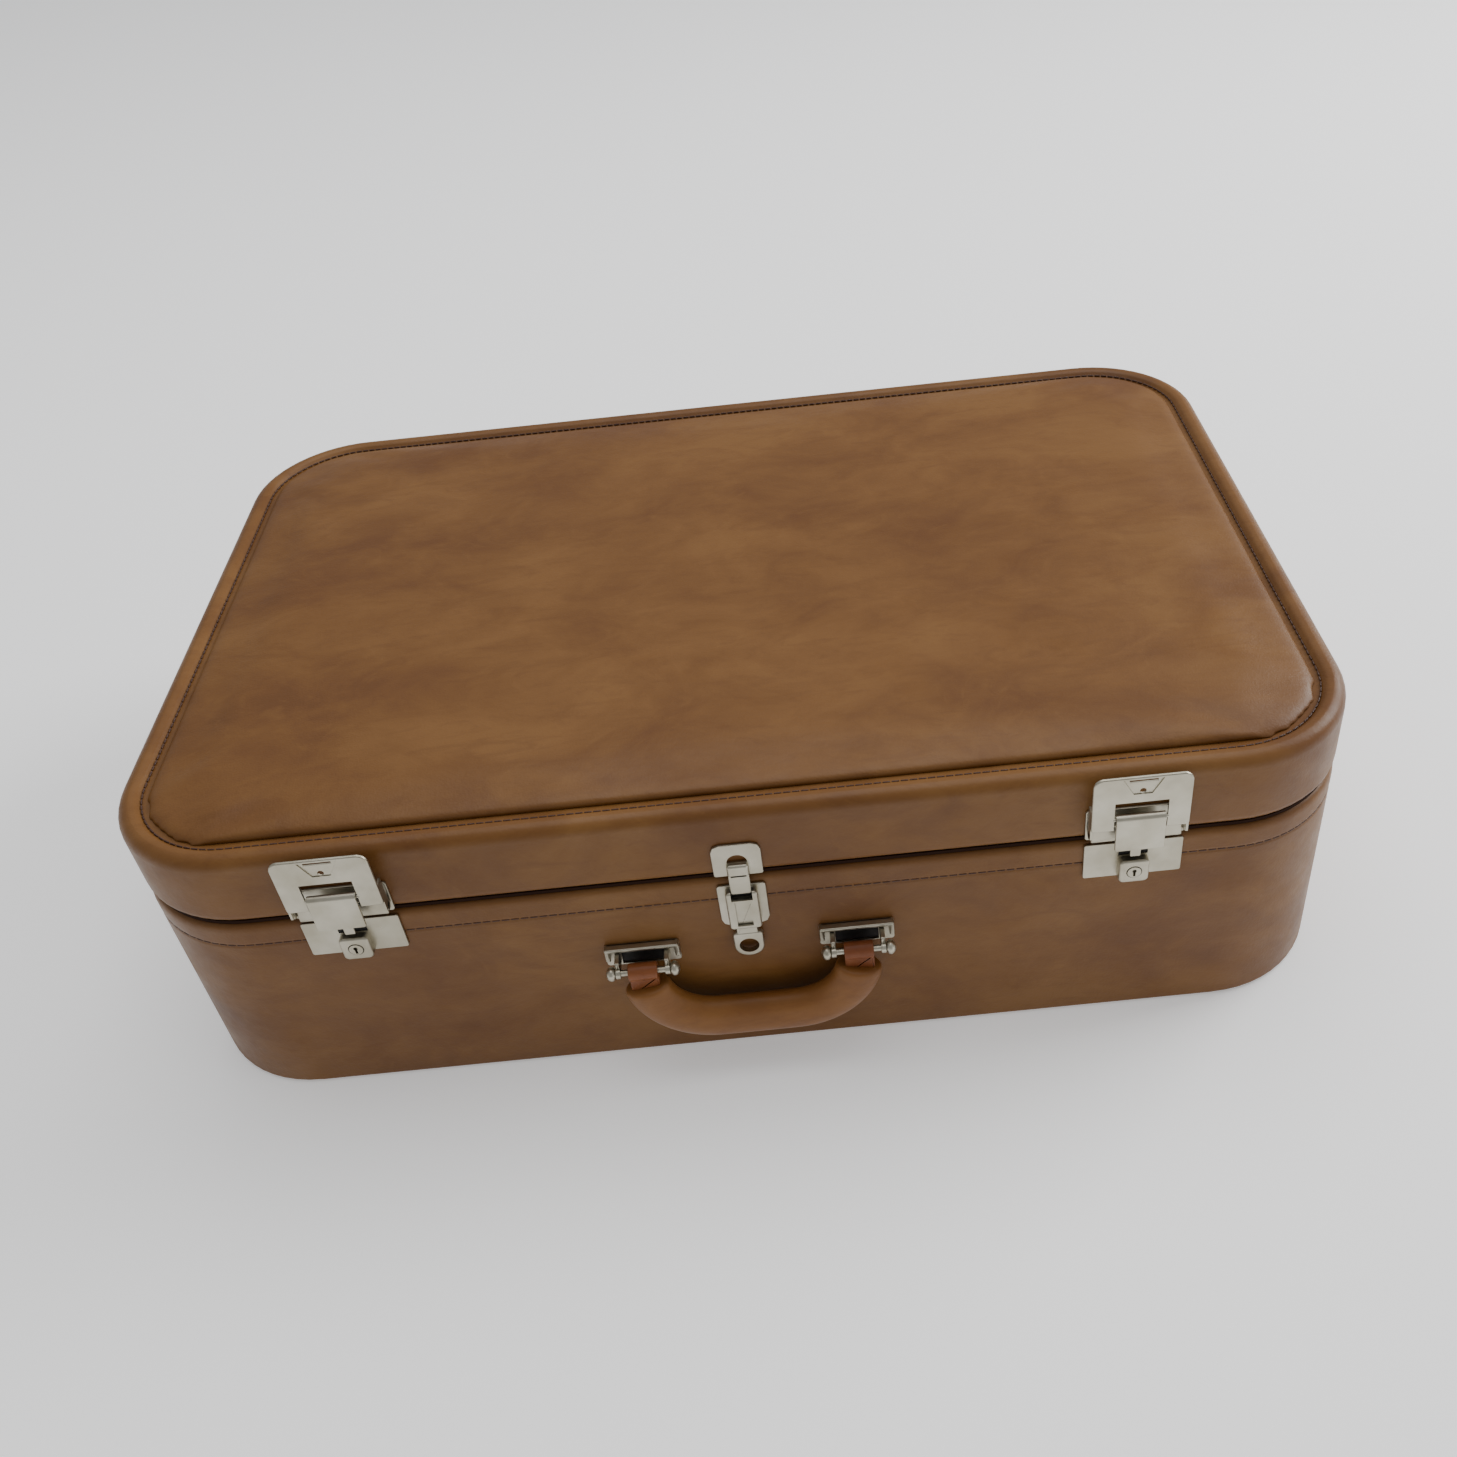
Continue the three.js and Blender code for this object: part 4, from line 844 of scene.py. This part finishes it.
# ---------- drive under the platter ----------
# Motor with a stepped pulley, and a rubber-tyred idler wheel on its arm.
rubber = material("black_rubber", (0.020, 0.020, 0.020), 0.8)
bloom = node(rubber, "TexNoise", {"Vector": object_coordinates(rubber), "Scale": 60, "Detail": 5})
finish_with(rubber, Base_Color=ramp(rubber, bloom.outputs["Fac"],
                                    (0.3, (0.014, 0.014, 0.014)), (0.75, (0.034, 0.033, 0.032))))
for name, finish, slot in (
        ("bearing_housing", steel, "steel"), ("motor", steel, "steel"), ("idler_arm", steel, "steel"),
        ("motor_pulley", silver, "aluminium"), ("idler_wheel", rubber, "rubber"),
        ("spindle", steel, "steel")):
    eased(name, finish, slot, 0.3)

# ---------- platter and mat ----------
# A pressed aluminium dish with a rolled edge and a row of strobe dots round its rim. On it lies a moulded
# rubber mat with fine concentric ribs.
platter_x, platter_y = -115, 5
platter_middle = (platter_x * mm, platter_y * mm)


def from_middle(owner):
    """Object coordinates measured from the platter's axis."""
    return node(owner, "VectorMath", {0: object_coordinates(owner), 1: (*platter_middle, 0)},
                operation="SUBTRACT").outputs["Vector"]


dish = material("platter_aluminium", (0.62, 0.62, 0.61), 0.28, 1.0)
turned = node(dish, "TexWave", {"Vector": from_middle(dish), "Scale": 300, "Distortion": 0.6},
              wave_type="RINGS", rings_direction="Z")
axes = node(dish, "SeparateXYZ", {"Vector": from_middle(dish)})
bearing = node(dish, "Math", {0: axes.outputs["Y"], 1: axes.outputs["X"]}, operation="ARCTAN2")
dot_count = 90.0
phase = node(dish, "Math", {0: bearing.outputs["Value"], 1: dot_count}, operation="MULTIPLY")
wave = node(dish, "Math", {0: phase.outputs["Value"]}, operation="SINE")
row = node(dish, "Math", {0: axes.outputs["Z"], 1: 98 * mm, 2: 1.6 * mm}, operation="COMPARE")
columns = node(dish, "Math", {0: wave.outputs["Value"], 1: 0.1}, operation="GREATER_THAN")
dots = node(dish, "Math", {0: columns.outputs["Value"], 1: row.outputs["Value"]}, operation="MULTIPLY")
lathe_marks = bump(dish, turned.outputs["Fac"], 0.00003, 0.4)
finish_with(dish, Normal=bump(dish, dots.outputs["Value"], 0.0004, 0.5, lathe_marks),
            Base_Color=ramp(dish, dots.outputs["Value"],
                            (0.4, (0.62, 0.62, 0.61)), (0.6, (0.05, 0.05, 0.05))))


def dished(name, low, radius, high, path):
    """A disc about the platter's axis, with its top face stepped through (inset, height) places."""
    bpy.ops.object.select_all(action="DESELECT")
    bpy.ops.mesh.primitive_cylinder_add(vertices=128, radius=radius * mm, depth=(high - low) * mm,
                                        location=(*platter_middle, (low + high) / 2 * mm))
    made = bpy.context.object
    made.name = name
    bpy.ops.object.transform_apply(location=True, rotation=True, scale=True)
    edit("FACE")
    select_where(made, lambda c: c.z > high * mm - 1e-6)
    inset, height = 0, high
    for next_inset, next_height in path:
        bpy.ops.mesh.inset(thickness=(next_inset - inset) * mm, depth=(next_height - height) * mm)
        inset, height = next_inset, next_height
    bpy.ops.object.mode_set(mode="OBJECT")
    return made


platter = dished("platter_dish", 92, 135, 102.6, [(0.2, 103.3), (0.7, 103.8), (1.5, 104), (130.5, 104)])
hollow = rod("hollow", "z", (platter_x, platter_y, 92), 120.5, 17, 128, 0)
cut(platter, hollow, rod("bore", "z", (platter_x, platter_y, 100), 4, 30, 32, 0))
hub = rod("hub", "z", (platter_x, platter_y, 96.8), 14, 7.4, 48)
cut(hub, rod("bore", "z", (platter_x, platter_y, 100), 4, 30, 32, 0))
joined(platter, hub)
smooth(platter, 35)
done(platter, "turntable", dish, "aluminium", "platter")

ribbed = material("ribbed_rubber", (0.022, 0.022, 0.022), 0.72)
ribs_and_shade = node(ribbed, "TexWave", {"Vector": from_middle(ribbed), "Scale": 78}, wave_type="RINGS",
            rings_direction="Z")
# The colour follows the ribs: darker in the grooves and lighter on the crests, as painted shade and painted
# highlight.
finish_with(ribbed, Normal=bump(ribbed, ribs_and_shade.outputs["Fac"], 0.0006, 0.7),
            Base_Color=ramp(ribbed, ribs_and_shade.outputs["Fac"],
                            (0.2, (0.014, 0.014, 0.014)), (0.8, (0.034, 0.034, 0.033))))
mat = dished("mat", 104.3, 131, 106.3, [(0.3, 106.8), (0.9, 107), (14, 107), (14.8, 106.4), (78, 106.4),
                                        (78.8, 106.9), (88, 106.9), (88.6, 106.4)])
cut(mat, rod("bore", "z", (platter_x, platter_y, 105), 4.6, 10, 32, 0))
smooth(mat, 35)
done(mat, "turntable", ribbed, "rubber", "platter_mat")

# ---------- tonearm ----------
# A turned pivot base, a yoke that swings, and a straight tube with a pressed headshell, a cartridge and a
# sliding counterweight. The rest is a moulded post.
for name, finish, slot, width in (
        ("tonearm_base", silver, "aluminium", 0.5), ("tonearm_yoke", steel, "steel", 0.4),
        ("tonearm", silver, "aluminium", 0.4), ("cartridge", black_plastic, "black_plastic", 0.4),
        ("counterweight", steel, "steel", 0.6), ("arm_rest", black_plastic, "black_plastic", 0.5)):
    eased(name, finish, slot, width)

# ---------- knobs and speed selector ----------
# Fluted black knobs with a fine white pointer line, and a selector with a finger lever.
pointer_white = material("pointer_paint", (0.75, 0.73, 0.68), 0.5)
wear = node(pointer_white, "TexNoise", {"Vector": object_coordinates(pointer_white), "Scale": 300,
                                        "Detail": 3})
worn_gloss = node(pointer_white, "MapRange", {"Value": wear.outputs["Fac"], "To Min": 0.4, "To Max": 0.65})
finish_with(pointer_white, Roughness=worn_gloss.outputs["Result"])
for name, body, x in (("volume_knob", "volume", 172), ("tone_knob", "tone", 240)):
    eased(name, black_plastic, "black_plastic", 0.4)
    mark = rod(name + "_pointer", "y", (x, -113.5, 105.85), 0.45, 9, 12, 0.2)
    done(mark, body, pointer_white, "aluminium")
eased("speed_selector", black_plastic, "black_plastic", 0.5)
